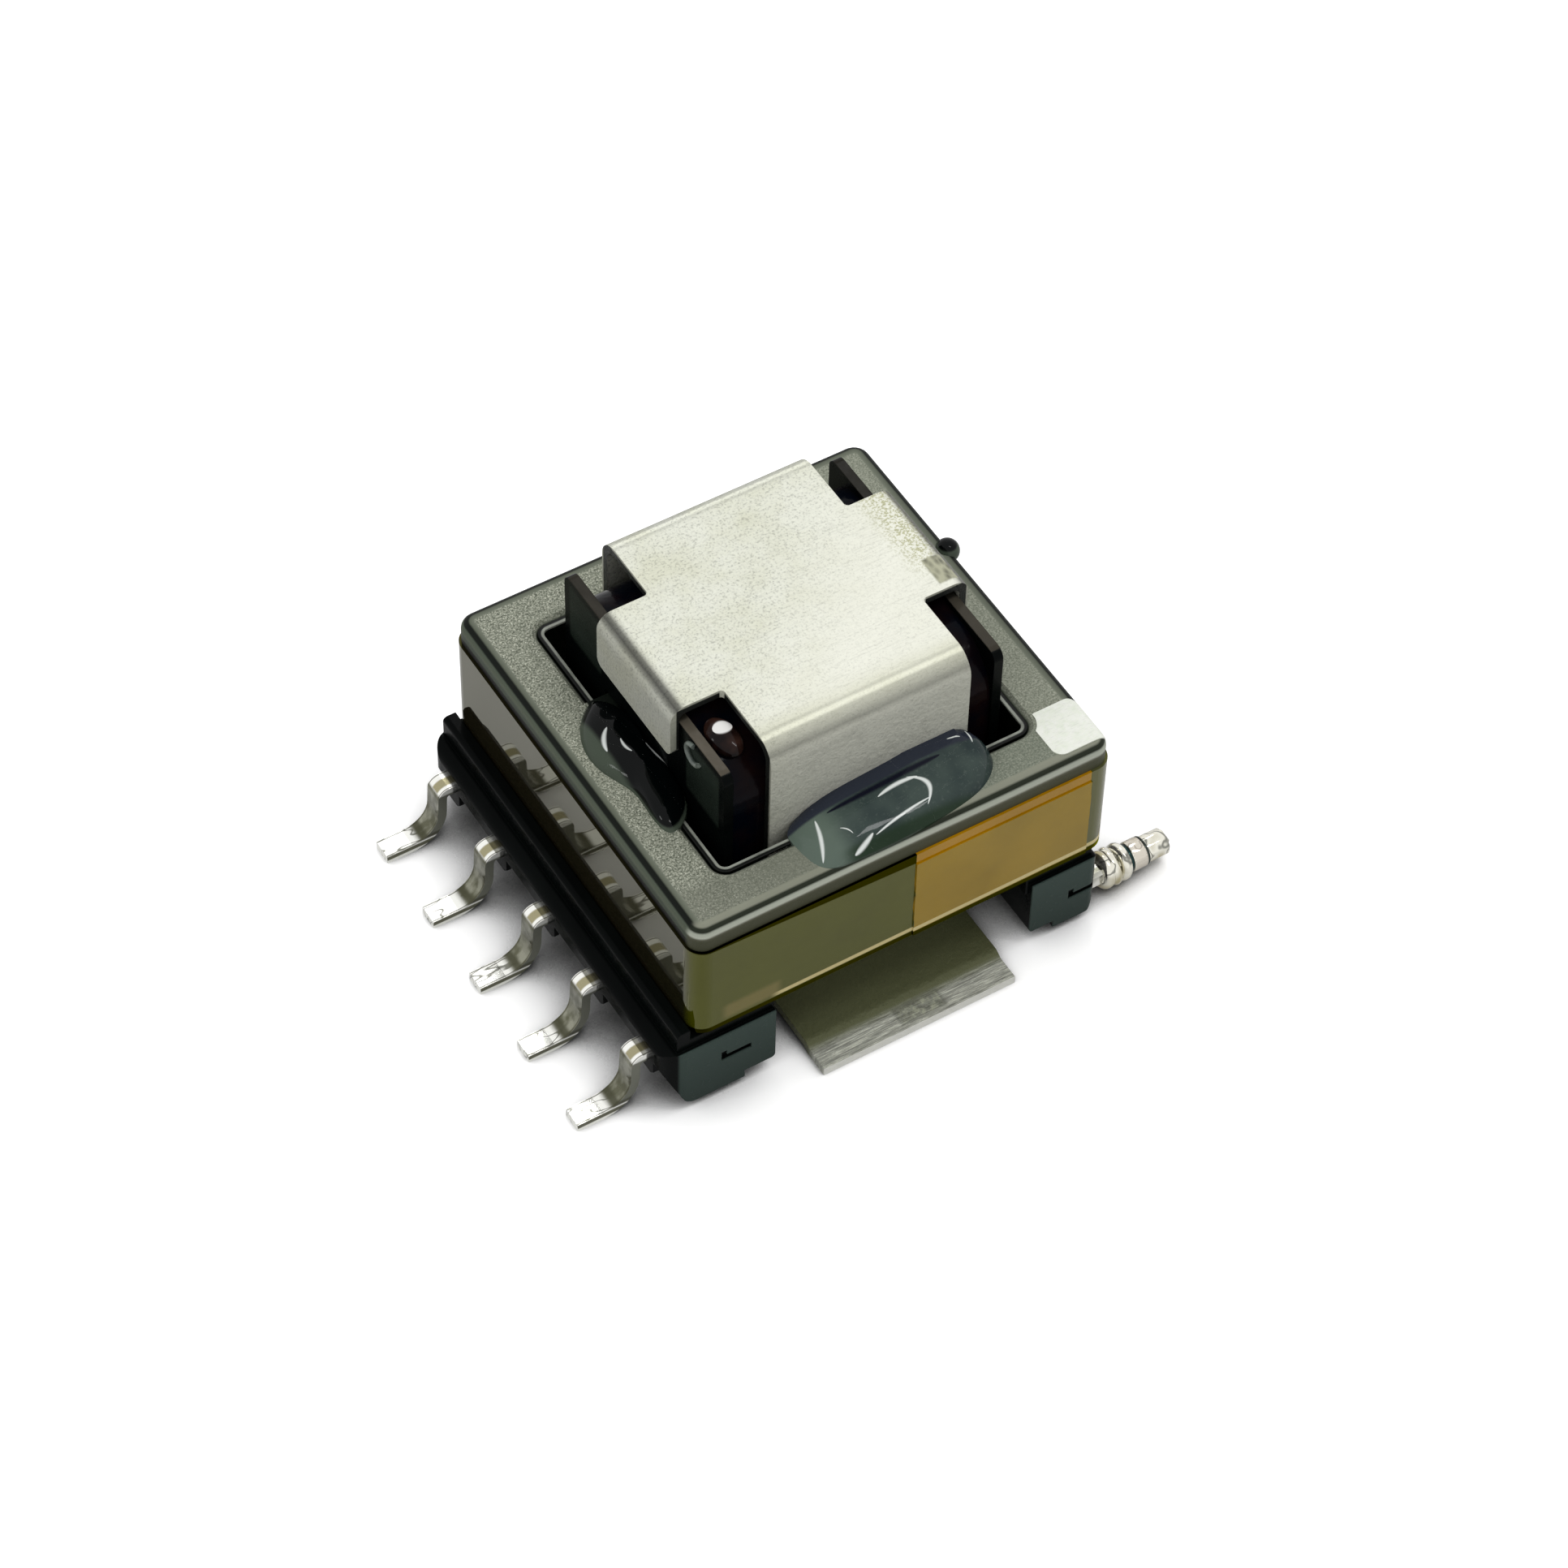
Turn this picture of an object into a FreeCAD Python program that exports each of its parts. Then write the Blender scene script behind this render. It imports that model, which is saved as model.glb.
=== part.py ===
import FreeCAD, Part
import math
import os
from FreeCAD import Vector

# A surface-mount power transformer, in millimetres. The board is the plane z = 0.
# X runs from the row of bent leads to the row of straight posts, and Y along the rows.

# Ferrite core: two equal E halves that meet at x = 0
core_length = 12.24
core_width = 12.06
core_height = 4.1
core_corner_radius = 0.45
core_edge_radius = 0.28
window_length = 9.2
window_width = 9.3
window_corner_radius = 0.4
window_edge_chamfer = 0.16
centre_leg_width = 3.6
centre_leg_gap = 0.08

# Adhesive tape round the core, with a second layer over part of the front
tape_thickness = 0.07
tape_width = 3.25
tape_lift = 0.1
overlap_start = 0.25
overlap_end = 5.5
overlap_drop = 0.36
overlap_thickness = 0.04

# Moulded bobbin: a tube for the centre legs, two flanges and two rails
rail_length = 12.24
rail_top = 2.4
rail_standoff = 0.24
rail_inner_lift = 0.26
rail_foot_inset = 0.9
rail_edge_radius = 0.12
lead_rail_overhang = 0.8
lead_rail_face_height = 0.75
lead_rail_run = 0.62
lead_rail_nose_radius = 0.34
lead_rail_base_radius = 0.4
lead_rail_corner = 0.6
lead_boss_width = 0.94
lead_boss_height = 0.8
lead_boss_depth = 0.5
lead_boss_bevel = 0.14
post_rail_setback = 0.15
post_rail_overhang = -0.19
post_rail_face_height = 1.65
post_rail_run = 0.24
post_rail_nose_radius = 0.2
post_rail_corner = 0.28
seat_height = 0.35
seat_setback = 0.12
curb_thickness = 0.38
curb_height = 0.36
curb_radius = 0.14
curb_clearance = 0.04
mould_mark_length = 0.88
mould_mark_height = 0.2
mould_mark_depth = 0.1
mould_mark_tick = 0.16
lead_rail_mark_inset = 1.16
lead_rail_mark_level = 1.47
post_rail_mark_inset = 1.75
post_rail_mark_level = 1.24
tube_wall = 0.38
leg_clearance = 0.08
flange_thickness = 0.27
flange_yoke_gap = 0.55
flange_leg_gap = 0.75
flange_rise = 2.55
flange_corner_radius = 0.3

# Windings on the tube, counted outwards, and the tape that closes them
primary_build = 0.62
insulation_build = 0.08
auxiliary_build = 0.72
cover_build = 0.12
winding_bulge = 1.22
tube_corner_radius = 0.35

# Single-turn strap of tinned copper over the windings
strap_thickness = 0.25
strap_width = 5.8
strap_offset = 0.06
strap_lift = 0.3
strap_winding_gap = 0.05
strap_fold_radius = 0.42
strap_foot_bend_radius = 0.45
strap_foot_rise = 0.14
strap_foot_length = 0.72
strap_reach = 0.88
strap_joggle_length = 0.22
ear_length = 3.6
ear_drop = 1.72
ear_fold_radius = 0.2
ear_corner_radius = 0.25
ear_clearance = 0.03
notch_radius = 0.12

# Bent leads of the left row
lead_count = 5
lead_pitch = 2.5
lead_width = 0.6
lead_thickness = 0.26
lead_top = 1.9
lead_shoulder = 0.39
lead_run = 0.08
lead_foot_length = 1.64
lead_knee_radius = 0.08
lead_heel_radius = 0.8
lead_anchor = 1.5

# Straight posts of the right row, each with wire wrapped on it and soldered
post_count = 4
post_pitch = 3.6
post_size = 0.55
post_chamfer = 0.09
post_height = 0.58
post_length = 2.67
post_anchor = 1.7
wrap_wire = 0.2
wrap_solder = 0.04
wrap_relief = 0.06
wrap_turns = 3
wrap_start = 0.66
collar_length = 0.4
collar_gap = 0.2
collar_step = 0.03

# White polarity mark, as a thin skin over the corner of the core's top
mark_length = 1.44
mark_width = 1.52
mark_thickness = 0.03
mark_side_gap = 0.08
mark_front_gap = 0.26
mark_window_gap = 0.06
mark_corner_radius = 0.3

# Adhesive beads. Each outline is seen from above: a place along the bead, and how far out
# it reaches from the wall it leans on. The levels say how it narrows as it rises.
glue_depth = 0.9
left_bead_outline = (
    (1.68, 0.65), (1.1, 1.2), (0.3, 1.46), (-0.5, 1.36), (-1.3, 1.07), (-2.2, 1.07),
    (-2.9, 0.9), (-2.6, 0.3), (-1.2, -0.06), (0.9, -0.06),
)
left_bead_peak = (0.2, 0.25)
left_bead_levels = ((0, 1), (0.2, 0.9), (0.34, 0.65), (0.41, 0.34))
front_bead_outline = (
    (-2.55, 0.45), (-2.5, 1.1), (-2.25, 1.68), (-1.6, 1.84), (0, 1.86), (1.5, 1.74),
    (2.75, 1.35), (3.22, 0.7), (2.9, -0.12), (0.8, -0.14), (-1.9, -0.1),
)
front_bead_peak = (2.3, -0.12)
front_bead_levels = ((0, 1), (0.25, 0.9), (0.54, 0.58), (0.7, 0.26))
side_drop_radius = 0.34
side_drop_place = 1.62
side_drop_inset = 0.08

# How far a cutting tool runs past what it cuts
tool_overrun = 1.0

# Places that follow from the sizes above
core_bottom = rail_top + seat_height
core_top = core_bottom + core_height
core_middle = core_bottom + core_height / 2
flange_outer = window_length / 2 - flange_yoke_gap
flange_inner = flange_outer - flange_thickness
flange_half_width = window_width / 2 - flange_leg_gap
flange_top = core_top + flange_rise
tube_half_width = centre_leg_width / 2 + leg_clearance + tube_wall
tube_half_height = core_height / 2 + leg_clearance + tube_wall
winding_build = primary_build + insulation_build + auxiliary_build + cover_build
winding_half_width = tube_half_width + winding_build
strap_inner = winding_half_width + strap_winding_gap
strap_top = flange_top + strap_lift + strap_thickness
tape_outer_x = core_length / 2 + tape_thickness
tape_outer_y = core_width / 2 + tape_thickness
lead_rail_face = tape_outer_x + lead_rail_overhang
post_rail_face = tape_outer_x + post_rail_overhang


def plane_face(points, radii):
    # A flat face with its corners rounded by the given radii, zero for a sharp one.
    count = len(points)
    starts = []
    ends = []
    middles = []
    for i in range(count):
        corner = points[i]
        back = points[i - 1].sub(corner)
        ahead = points[(i + 1) % count].sub(corner)
        back.normalize()
        ahead.normalize()
        radius = radii[i]
        if radius == 0:
            starts.append(corner)
            ends.append(corner)
            middles.append(None)
            continue
        half = back.getAngle(ahead) / 2
        reach = radius / math.tan(half)
        bisector = back.add(ahead)
        bisector.normalize()
        starts.append(corner.add(back.multiply(reach)))
        ends.append(corner.add(ahead.multiply(reach)))
        middles.append(corner.add(bisector.multiply(radius / math.sin(half) - radius)))
    edges = []
    for i in range(count):
        if middles[i] is not None:
            edges.append(Part.Arc(starts[i], middles[i], ends[i]).toShape())
        following = starts[(i + 1) % count]
        if ends[i].distanceToPoint(following) > 1e-6:
            edges.append(Part.LineSegment(ends[i], following).toShape())
    return Part.Face(Part.Wire(edges))


def rounded_block(x0, x1, y0, y1, z0, z1, radii):
    # An upright block whose four plan corners have the given radii.
    corners = [Vector(x0, y0, z0), Vector(x1, y0, z0), Vector(x1, y1, z0), Vector(x0, y1, z0)]
    return plane_face(corners, radii).extrude(Vector(0, 0, z1 - z0))


def strip_face(path, bend_radii, thickness, across):
    # A strip of sheet seen edge on: its centre line is the path, with an inner radius for
    # each bend. The vector across is the direction in which the sheet is wide.
    sides = []
    for side in (1, -1):
        edges = []
        last = None
        for i in range(len(path)):
            here = path[i]
            before = here.sub(path[i - 1]) if i > 0 else path[1].sub(path[0])
            after = path[i + 1].sub(here) if i < len(path) - 1 else before
            before = Vector(before)
            after = Vector(after)
            before.normalize()
            after.normalize()
            normal_before = before.cross(across).multiply(side * thickness / 2)
            normal_after = after.cross(across).multiply(side * thickness / 2)
            turn = before.getAngle(after)
            if i == 0 or i == len(path) - 1 or turn < 1e-6:
                point = here.add(normal_before)
                if last is not None:
                    edges.append(Part.LineSegment(last, point).toShape())
                last = point
                continue
            centre_radius = bend_radii[i - 1] + thickness / 2
            reach = centre_radius * math.tan(turn / 2)
            entry = here.sub(Vector(before).multiply(reach))
            leave = here.add(Vector(after).multiply(reach))
            inward = after.sub(before)
            inward.normalize()
            centre = here.add(Vector(inward).multiply(centre_radius / math.cos(turn / 2)))
            first = entry.add(normal_before)
            final = leave.add(normal_after)
            radius = first.distanceToPoint(centre)
            middle = centre.sub(Vector(inward).multiply(radius))
            edges.append(Part.LineSegment(last, first).toShape())
            edges.append(Part.Arc(first, middle, final).toShape())
            last = final
        sides.append((edges, last))
    start_cap = Part.LineSegment(sides[1][0][0].Vertexes[0].Point, sides[0][0][0].Vertexes[0].Point)
    end_cap = Part.LineSegment(sides[0][1], sides[1][1])
    outline = sides[0][0] + [end_cap.toShape()] + sides[1][0][::-1] + [start_cap.toShape()]
    return Part.Face(Part.Wire(Part.sortEdges(outline)[0]))


def edges_where(shape, test):
    # The edges whose middle and direction pass the test.
    found = []
    for edge in shape.Edges:
        middle = edge.valueAt((edge.FirstParameter + edge.LastParameter) / 2)
        ends = [vertex.Point for vertex in edge.Vertexes]
        if test(edge, middle, ends):
            found.append(edge)
    return found


def near(a, b):
    return abs(a - b) < 1e-4


def window_outline(grow):
    # Half sizes of the core's window in plan, larger all round by grow.
    half_x = window_length / 2 + grow
    half_y = window_width / 2 + grow
    return half_x, half_y


def core_envelope(grow):
    # The core's outer form without its window, larger all round by grow.
    half_x = core_length / 2 + grow
    half_y = core_width / 2 + grow
    radii = [core_corner_radius + grow] * 4
    low = core_bottom - grow
    high = core_top + grow
    body = rounded_block(-half_x, half_x, -half_y, half_y, low, high, radii)

    def on_rim(edge, middle, ends):
        return near(middle.z, low) or near(middle.z, high)

    return body.makeFillet(core_edge_radius + grow, edges_where(body, on_rim))


def core_half(side):
    # One E half: a yoke across the end, two outer legs and a centre leg, one piece of ferrite.
    half_space = Part.makeBox(
        core_length,
        2 * core_width,
        2 * core_top,
        Vector(min(0, side * core_length), -core_width, 0),
    )
    body = core_envelope(0).common(half_space).cut(window_tool())
    leg_end = side * centre_leg_gap / 2
    overlap = side * (window_length / 2 + window_edge_chamfer + 0.1)
    leg = Part.makeBox(
        abs(overlap - leg_end),
        centre_leg_width,
        core_height,
        Vector(min(leg_end, overlap), -centre_leg_width / 2, core_bottom),
    )
    return body.fuse(leg).removeSplitter()


def window_tool():
    # The window through the core, wider at its top and bottom edges by the chamfer.
    half_x, half_y = window_outline(0)
    radii = [window_corner_radius] * 4
    tool = rounded_block(-half_x, half_x, -half_y, half_y, core_bottom, core_top, radii)
    wide_x, wide_y = window_outline(window_edge_chamfer)
    wide_radii = [window_corner_radius + window_edge_chamfer] * 4
    for level, inner in (
        (core_bottom, core_bottom + window_edge_chamfer),
        (core_top, core_top - window_edge_chamfer),
    ):
        wide = rounded_block(-wide_x, wide_x, -wide_y, wide_y, level, level + tool_overrun, wide_radii)
        narrow = rounded_block(-half_x, half_x, -half_y, half_y, inner, inner + tool_overrun, radii)
        wide_wire = [face for face in wide.Faces if near(face.CenterOfMass.z, level)][0].OuterWire
        narrow_wire = [face for face in narrow.Faces if near(face.CenterOfMass.z, inner)][0].OuterWire
        tool = tool.fuse(Part.makeLoft([wide_wire, narrow_wire], True, True))
    return tool


def core_tape():
    # One turn of tape round both halves, and the second layer that ends on the front.
    low = core_bottom + tape_lift
    high = low + tape_width
    inner_x = core_length / 2
    inner_y = core_width / 2
    outer_radii = [core_corner_radius + tape_thickness] * 4
    inner_radii = [core_corner_radius] * 4
    outer = rounded_block(-tape_outer_x, tape_outer_x, -tape_outer_y, tape_outer_y, low, high, outer_radii)
    inner = rounded_block(-inner_x, inner_x, -inner_y, inner_y, low, high, inner_radii)
    layer = Part.makeBox(
        overlap_end - overlap_start,
        tape_thickness / 2 + overlap_thickness,
        tape_width - overlap_drop,
        Vector(overlap_start, -tape_outer_y - overlap_thickness, low),
    )
    return outer.cut(inner).fuse(layer).removeSplitter()


def rail(side):
    # A rail under one yoke: its section is drawn across X and Z and runs along Y.
    def at(x, z):
        return Vector(side * x, -rail_length / 2, z)

    if side < 0:
        face_x = lead_rail_face
        face_height = lead_rail_face_height
        run = lead_rail_run
        nose_radius = lead_rail_nose_radius
        base_radius = lead_rail_base_radius
        corner = lead_rail_corner
        inner_x = flange_inner
    else:
        face_x = post_rail_face
        face_height = post_rail_face_height
        run = post_rail_run
        nose_radius = post_rail_nose_radius
        base_radius = rail_edge_radius
        corner = post_rail_corner
        inner_x = flange_inner + post_rail_setback
    foot_inner = flange_inner + rail_foot_inset
    section = [
        at(inner_x, rail_top),
        at(inner_x, rail_standoff + rail_inner_lift),
        at(foot_inner, rail_standoff + rail_inner_lift),
        at(foot_inner, rail_standoff),
        at(face_x - run, rail_standoff),
        at(face_x, rail_top - face_height),
        at(face_x, rail_top),
    ]
    radii = [0, rail_edge_radius, 0, 0, base_radius, rail_edge_radius, nose_radius]
    beam = plane_face(section, radii).extrude(Vector(0, rail_length, 0))
    half = rail_length / 2
    plan = [
        Vector(side * (inner_x - tool_overrun), -half, 0),
        Vector(side * face_x, -half, 0),
        Vector(side * face_x, half, 0),
        Vector(side * (inner_x - tool_overrun), half, 0),
    ]
    beam = beam.common(plane_face(plan, [0, corner, corner, 0]).extrude(Vector(0, 0, rail_top)))
    beam = beam.fuse(core_seat(side))
    if side < 0:
        for index in range(lead_count):
            beam = beam.fuse(lead_boss(index))
    return beam.cut(mould_marks(side))


def lead_boss(index):
    # Extra material under each lead where it leaves the rail, flush with the rail's face.
    middle = row_place(index, lead_count, lead_pitch)
    half = lead_boss_width / 2
    low = lead_top - lead_boss_height
    corners = [
        Vector(-lead_rail_face, middle - half + lead_boss_bevel, low),
        Vector(-lead_rail_face, middle + half - lead_boss_bevel, low),
        Vector(-lead_rail_face, middle + half, low + lead_boss_bevel),
        Vector(-lead_rail_face, middle + half, lead_top),
        Vector(-lead_rail_face, middle - half, lead_top),
        Vector(-lead_rail_face, middle - half, low + lead_boss_bevel),
    ]
    face = plane_face(corners, [0] * len(corners))
    return face.extrude(Vector(lead_boss_depth, 0, 0))


def core_seat(side):
    # The step that carries the yoke. On the lead side a low curb stands outside the tape.
    seat_half = rail_length / 2 - seat_setback
    low = rail_top - lead_rail_nose_radius
    seat_outer = min(tape_outer_x + curb_clearance, post_rail_face - post_rail_nose_radius)
    seat_x = min(side * flange_inner, side * seat_outer)
    seat = Part.makeBox(
        seat_outer - flange_inner,
        2 * seat_half,
        core_bottom - low,
        Vector(seat_x, -seat_half, low),
    )
    if side > 0:
        return seat
    curb_inner = tape_outer_x + curb_clearance
    curb_outer = curb_inner + curb_thickness
    curb = Part.makeBox(
        curb_outer - seat_outer,
        2 * seat_half,
        core_bottom + curb_height - low,
        Vector(-curb_outer, -seat_half, low),
    )
    groove = Part.makeBox(
        curb_inner - seat_outer,
        2 * seat_half,
        curb_height,
        Vector(-curb_inner, -seat_half, core_bottom),
    )

    def outside_top(edge, middle, ends):
        return near(middle.z, core_bottom + curb_height) and near(middle.x, -curb_outer)

    curb = curb.makeFillet(curb_radius, edges_where(curb, outside_top))
    return seat.fuse(curb).cut(groove)


def mould_marks(side):
    # A shallow recess with a turned-up end, left by the mould in each end of a rail.
    inset = lead_rail_mark_inset if side < 0 else post_rail_mark_inset
    level = lead_rail_mark_level if side < 0 else post_rail_mark_level
    left = side * (flange_inner + inset) - mould_mark_length / 2
    right = left + mould_mark_length
    low = level - mould_mark_height / 2
    high = level + mould_mark_height / 2
    marks = []
    for end in (-1, 1):
        edge_y = end * rail_length / 2
        outline = [
            Vector(left, edge_y, low),
            Vector(right, edge_y, low),
            Vector(right, edge_y, high),
            Vector(left + mould_mark_tick, edge_y, high),
            Vector(left + mould_mark_tick, edge_y, high + mould_mark_tick),
            Vector(left, edge_y, high + mould_mark_tick),
        ]
        face = plane_face(outline, [0] * len(outline))
        marks.append(face.extrude(Vector(0, -end * mould_mark_depth, 0)))
    return marks[0].fuse(marks[1])


def upright_ring_face(x, half_width, half_height, radius):
    # A rounded rectangle standing across X, centred on the core's middle.
    corners = [
        Vector(x, -half_width, core_middle - half_height),
        Vector(x, half_width, core_middle - half_height),
        Vector(x, half_width, core_middle + half_height),
        Vector(x, -half_width, core_middle + half_height),
    ]
    return plane_face(corners, [radius] * 4)


def flange(side):
    # A thin plate that holds the end of the windings, open at the rail below.
    low_x = min(side * flange_inner, side * flange_outer)
    bottom = rail_standoff + rail_inner_lift
    corners = [
        Vector(low_x, -flange_half_width, bottom),
        Vector(low_x, flange_half_width, bottom),
        Vector(low_x, flange_half_width, flange_top),
        Vector(low_x, -flange_half_width, flange_top),
    ]
    radii = [0, 0, flange_corner_radius, flange_corner_radius]
    return plane_face(corners, radii).extrude(Vector(flange_thickness, 0, 0))


def bobbin():
    # Tube, flanges and rails come out of one mould.
    tube = upright_ring_face(-flange_outer, tube_half_width, tube_half_height, tube_corner_radius)
    body = tube.extrude(Vector(2 * flange_outer, 0, 0))
    for side in (-1, 1):
        body = body.fuse(flange(side)).fuse(rail(side))
    hole = Part.makeBox(
        2 * flange_outer,
        centre_leg_width + 2 * leg_clearance,
        core_height + 2 * leg_clearance,
        Vector(-flange_outer, -centre_leg_width / 2 - leg_clearance, core_bottom - leg_clearance),
    )
    body = body.cut(hole).cut(leg_slots())
    for index in range(lead_count):
        body = body.cut(lead(index))
    for index in range(post_count):
        body = body.cut(post(index))
    return body.removeSplitter()


def leg_slots():
    # The centre legs pass over the rails with the same clearance as in the tube.
    reach = core_length / 2
    slots = []
    for side in (-1, 1):
        low_x = min(side * flange_outer, side * reach)
        slots.append(
            Part.makeBox(
                reach - flange_outer,
                centre_leg_width + 2 * leg_clearance,
                leg_clearance,
                Vector(low_x, -centre_leg_width / 2 - leg_clearance, core_bottom - leg_clearance),
            )
        )
    return slots[0].fuse(slots[1])


def winding_layer(inner, outer):
    # One closed layer round the tube, between the flanges. inner and outer are builds in Y.
    def loop(build):
        half_width = tube_half_width + build
        half_height = tube_half_height + build * winding_bulge
        radius = tube_corner_radius + build * 0.75
        return upright_ring_face(-flange_inner, half_width, half_height, radius)

    length = Vector(2 * flange_inner, 0, 0)
    return loop(outer).extrude(length).cut(loop(inner).extrude(length))


def strap_band():
    # The sheet goes over the windings, down both sides and out under the core as two feet.
    half = strap_thickness / 2
    wall = strap_inner + half
    top = strap_top - half
    foot_low = half
    foot_high = half + strap_foot_rise
    tip = tape_outer_y + strap_reach
    joggle = tip - strap_foot_length
    side_path = [
        Vector(0, tip, foot_low),
        Vector(0, joggle, foot_low),
        Vector(0, joggle - strap_joggle_length, foot_high),
        Vector(0, wall, foot_high),
        Vector(0, wall, top),
    ]
    mirrored = [Vector(0, -point.y, point.z) for point in side_path[::-1]]
    across = Vector(1, 0, 0)
    upper = strip_face(
        [Vector(0, wall, core_middle), side_path[4], mirrored[0], Vector(0, -wall, core_middle)],
        [strap_fold_radius] * 2,
        strap_thickness,
        across,
    )
    band = upper.extrude(Vector(strap_width, 0, 0))
    for sign in (1, -1):
        middle_y = (joggle - strap_joggle_length + wall) / 2
        halfway = Vector(0, sign * middle_y, foot_high)
        joggled = [Vector(0, sign * point.y, point.z) for point in side_path[:3]]
        joggled.append(halfway)
        corner = Vector(0, sign * wall, foot_high)
        lower = [halfway, corner, Vector(0, sign * wall, core_middle)]
        foot_bend = strip_face(lower, [strap_foot_bend_radius], strap_thickness, across)
        foot = strip_face(joggled, [strap_thickness / 4] * 2, strap_thickness, across)
        band = band.fuse(foot_bend.extrude(Vector(strap_width, 0, 0)))
        band = band.fuse(foot.extrude(Vector(strap_width, 0, 0)))
    band.translate(Vector(strap_offset - strap_width / 2, 0, 0))
    return band


def strap_ears():
    # Two ears of the same sheet, folded down outside the flanges.
    half = strap_thickness / 2
    wall = flange_outer + ear_clearance + half
    path = [
        Vector(-wall, -ear_length / 2, strap_top - ear_drop),
        Vector(-wall, -ear_length / 2, strap_top - half),
        Vector(wall, -ear_length / 2, strap_top - half),
        Vector(wall, -ear_length / 2, strap_top - ear_drop),
    ]
    face = strip_face(path, [ear_fold_radius] * 2, strap_thickness, Vector(0, 1, 0))
    ears = face.extrude(Vector(0, ear_length, 0))

    def at_ear_corner(edge, middle, ends):
        low = near(middle.z, strap_top - ear_drop)
        return low and near(abs(middle.y), ear_length / 2)

    return ears.makeFillet(ear_corner_radius, edges_where(ears, at_ear_corner))


def strap():
    # One cut and folded piece: the band and the ears share the flat top.
    whole = strap_band().fuse(strap_ears()).removeSplitter()

    def in_notch(edge, middle, ends):
        upright = near(ends[0].x, ends[-1].x) and near(ends[0].y, ends[-1].y)
        at_x = near(abs(middle.x - strap_offset), strap_width / 2)
        return upright and at_x and near(abs(middle.y), ear_length / 2)

    return whole.makeFillet(notch_radius, edges_where(whole, in_notch))


def row_place(index, count, pitch):
    # Places along a row, the first at the far end of Y.
    return ((count - 1) / 2 - index) * pitch


def lead(index):
    # A flat lead that leaves the rail, bends sharply down and sweeps out into a foot.
    middle = row_place(index, lead_count, lead_pitch)
    half = lead_thickness / 2
    high = lead_top - half
    knee = lead_rail_face + lead_shoulder
    heel = knee + lead_run
    path = [
        Vector(-(lead_rail_face - lead_anchor), middle - lead_width / 2, high),
        Vector(-knee, middle - lead_width / 2, high),
        Vector(-heel, middle - lead_width / 2, half),
        Vector(-(heel + lead_foot_length), middle - lead_width / 2, half),
    ]
    bends = [lead_knee_radius, lead_heel_radius]
    face = strip_face(path, bends, lead_thickness, Vector(0, 1, 0))
    return face.extrude(Vector(0, lead_width, 0))


def post(index):
    # A square bar with bevelled corners that stands straight out of the rail, above the board.
    middle = row_place(index, post_count, post_pitch)
    half = post_size / 2
    anchor = Vector(post_rail_face - post_anchor, middle - half, post_height - half)
    bar = Part.makeBox(post_anchor + post_length, post_size, post_size, anchor)

    def outside_rail_end(edge, middle_point, ends):
        return not near(middle_point.x, anchor.x)

    return bar.makeChamfer(post_chamfer, edges_where(bar, outside_rail_end))


def wire_wrap(index):
    # Close turns of tinned wire on a post, soldered together, and a collar of solder beyond them.
    half = post_size / 2
    valley = math.hypot(half, half - post_chamfer) + wrap_solder
    collar_start = wrap_start + wrap_turns * wrap_wire + collar_gap
    outline = [Vector(wrap_start, 0, 0)]
    for start, ridges, ridge_length, radius in (
        (wrap_start, wrap_turns, wrap_wire, valley),
        (collar_start, 1, collar_length, valley - collar_step),
    ):
        outline.append(Vector(start, 0, radius))
        for ridge in range(ridges):
            outline.append(Vector(start + (ridge + 0.5) * ridge_length, 0, radius + wrap_relief))
            outline.append(Vector(start + (ridge + 1) * ridge_length, 0, radius))
    outline.append(Vector(outline[-1].x, 0, 0))
    section = plane_face(outline, [0] * len(outline))
    whole = section.revolve(Vector(0, 0, 0), Vector(1, 0, 0), 360)
    whole.translate(Vector(post_rail_face, row_place(index, post_count, post_pitch), post_height))
    return whole.cut(post(index)).cut(bobbin_shape)


def polarity_mark():
    # A printed white patch on the corner of the core's top, with its edge on the rounded rim.
    high_x = core_length / 2 - mark_side_gap
    low_y = -core_width / 2 + mark_front_gap
    radii = [mark_corner_radius, 0, mark_corner_radius, mark_corner_radius]
    patch = rounded_block(
        high_x - mark_length,
        high_x,
        low_y,
        low_y + mark_width,
        core_middle,
        core_top + tool_overrun,
        radii,
    )
    skin = core_envelope(mark_thickness).cut(core_envelope(0)).common(patch)
    half_x, half_y = window_outline(window_edge_chamfer + mark_window_gap)
    window_radii = [window_corner_radius + window_edge_chamfer] * 4
    opening = rounded_block(-half_x, half_x, -half_y, half_y, core_middle, core_top + tool_overrun, window_radii)
    return skin.cut(opening)


def bead(outline, peak, levels, place):
    # A bead of adhesive on the core's top that also fills the gap below it.
    # The function place turns a point of the outline into X and Y.
    def ring(level, share):
        points = []
        for along, out in outline:
            x, y = place(peak[0] + (along - peak[0]) * share, peak[1] + (out - peak[1]) * share)
            points.append(Vector(x, y, core_top + level))
        curve = Part.BSplineCurve()
        curve.interpolate(Points=points, PeriodicFlag=True)
        return Part.Wire(curve.toShape())

    dome = Part.makeLoft([ring(level, share) for level, share in levels], True, False)
    below = Part.Face(ring(0, 1)).extrude(Vector(0, 0, -glue_depth))
    return adhesive(dome.fuse(below))


def beside_flange(along, out):
    # Places of the left bead, which leans on the left flange.
    return -flange_outer - out, along


def before_strap(along, out):
    # Places of the front bead, which leans on the strap's front wall.
    return along, -strap_inner - strap_thickness - out


def adhesive(whole):
    # Adhesive fills only the space that the pieces round it leave.
    for neighbour in glue_neighbours:
        whole = whole.cut(neighbour)
    return max(whole.Solids, key=lambda solid: solid.Volume)


def save(shape, name):
    # One closed solid to a file.
    if len(shape.Solids) == 1:
        shape = shape.Solids[0]
    shape.exportStep("parts/" + name + ".step")
    print(name, "solids", len(shape.Solids), "volume", round(shape.Volume, 3), shape.isValid())


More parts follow.
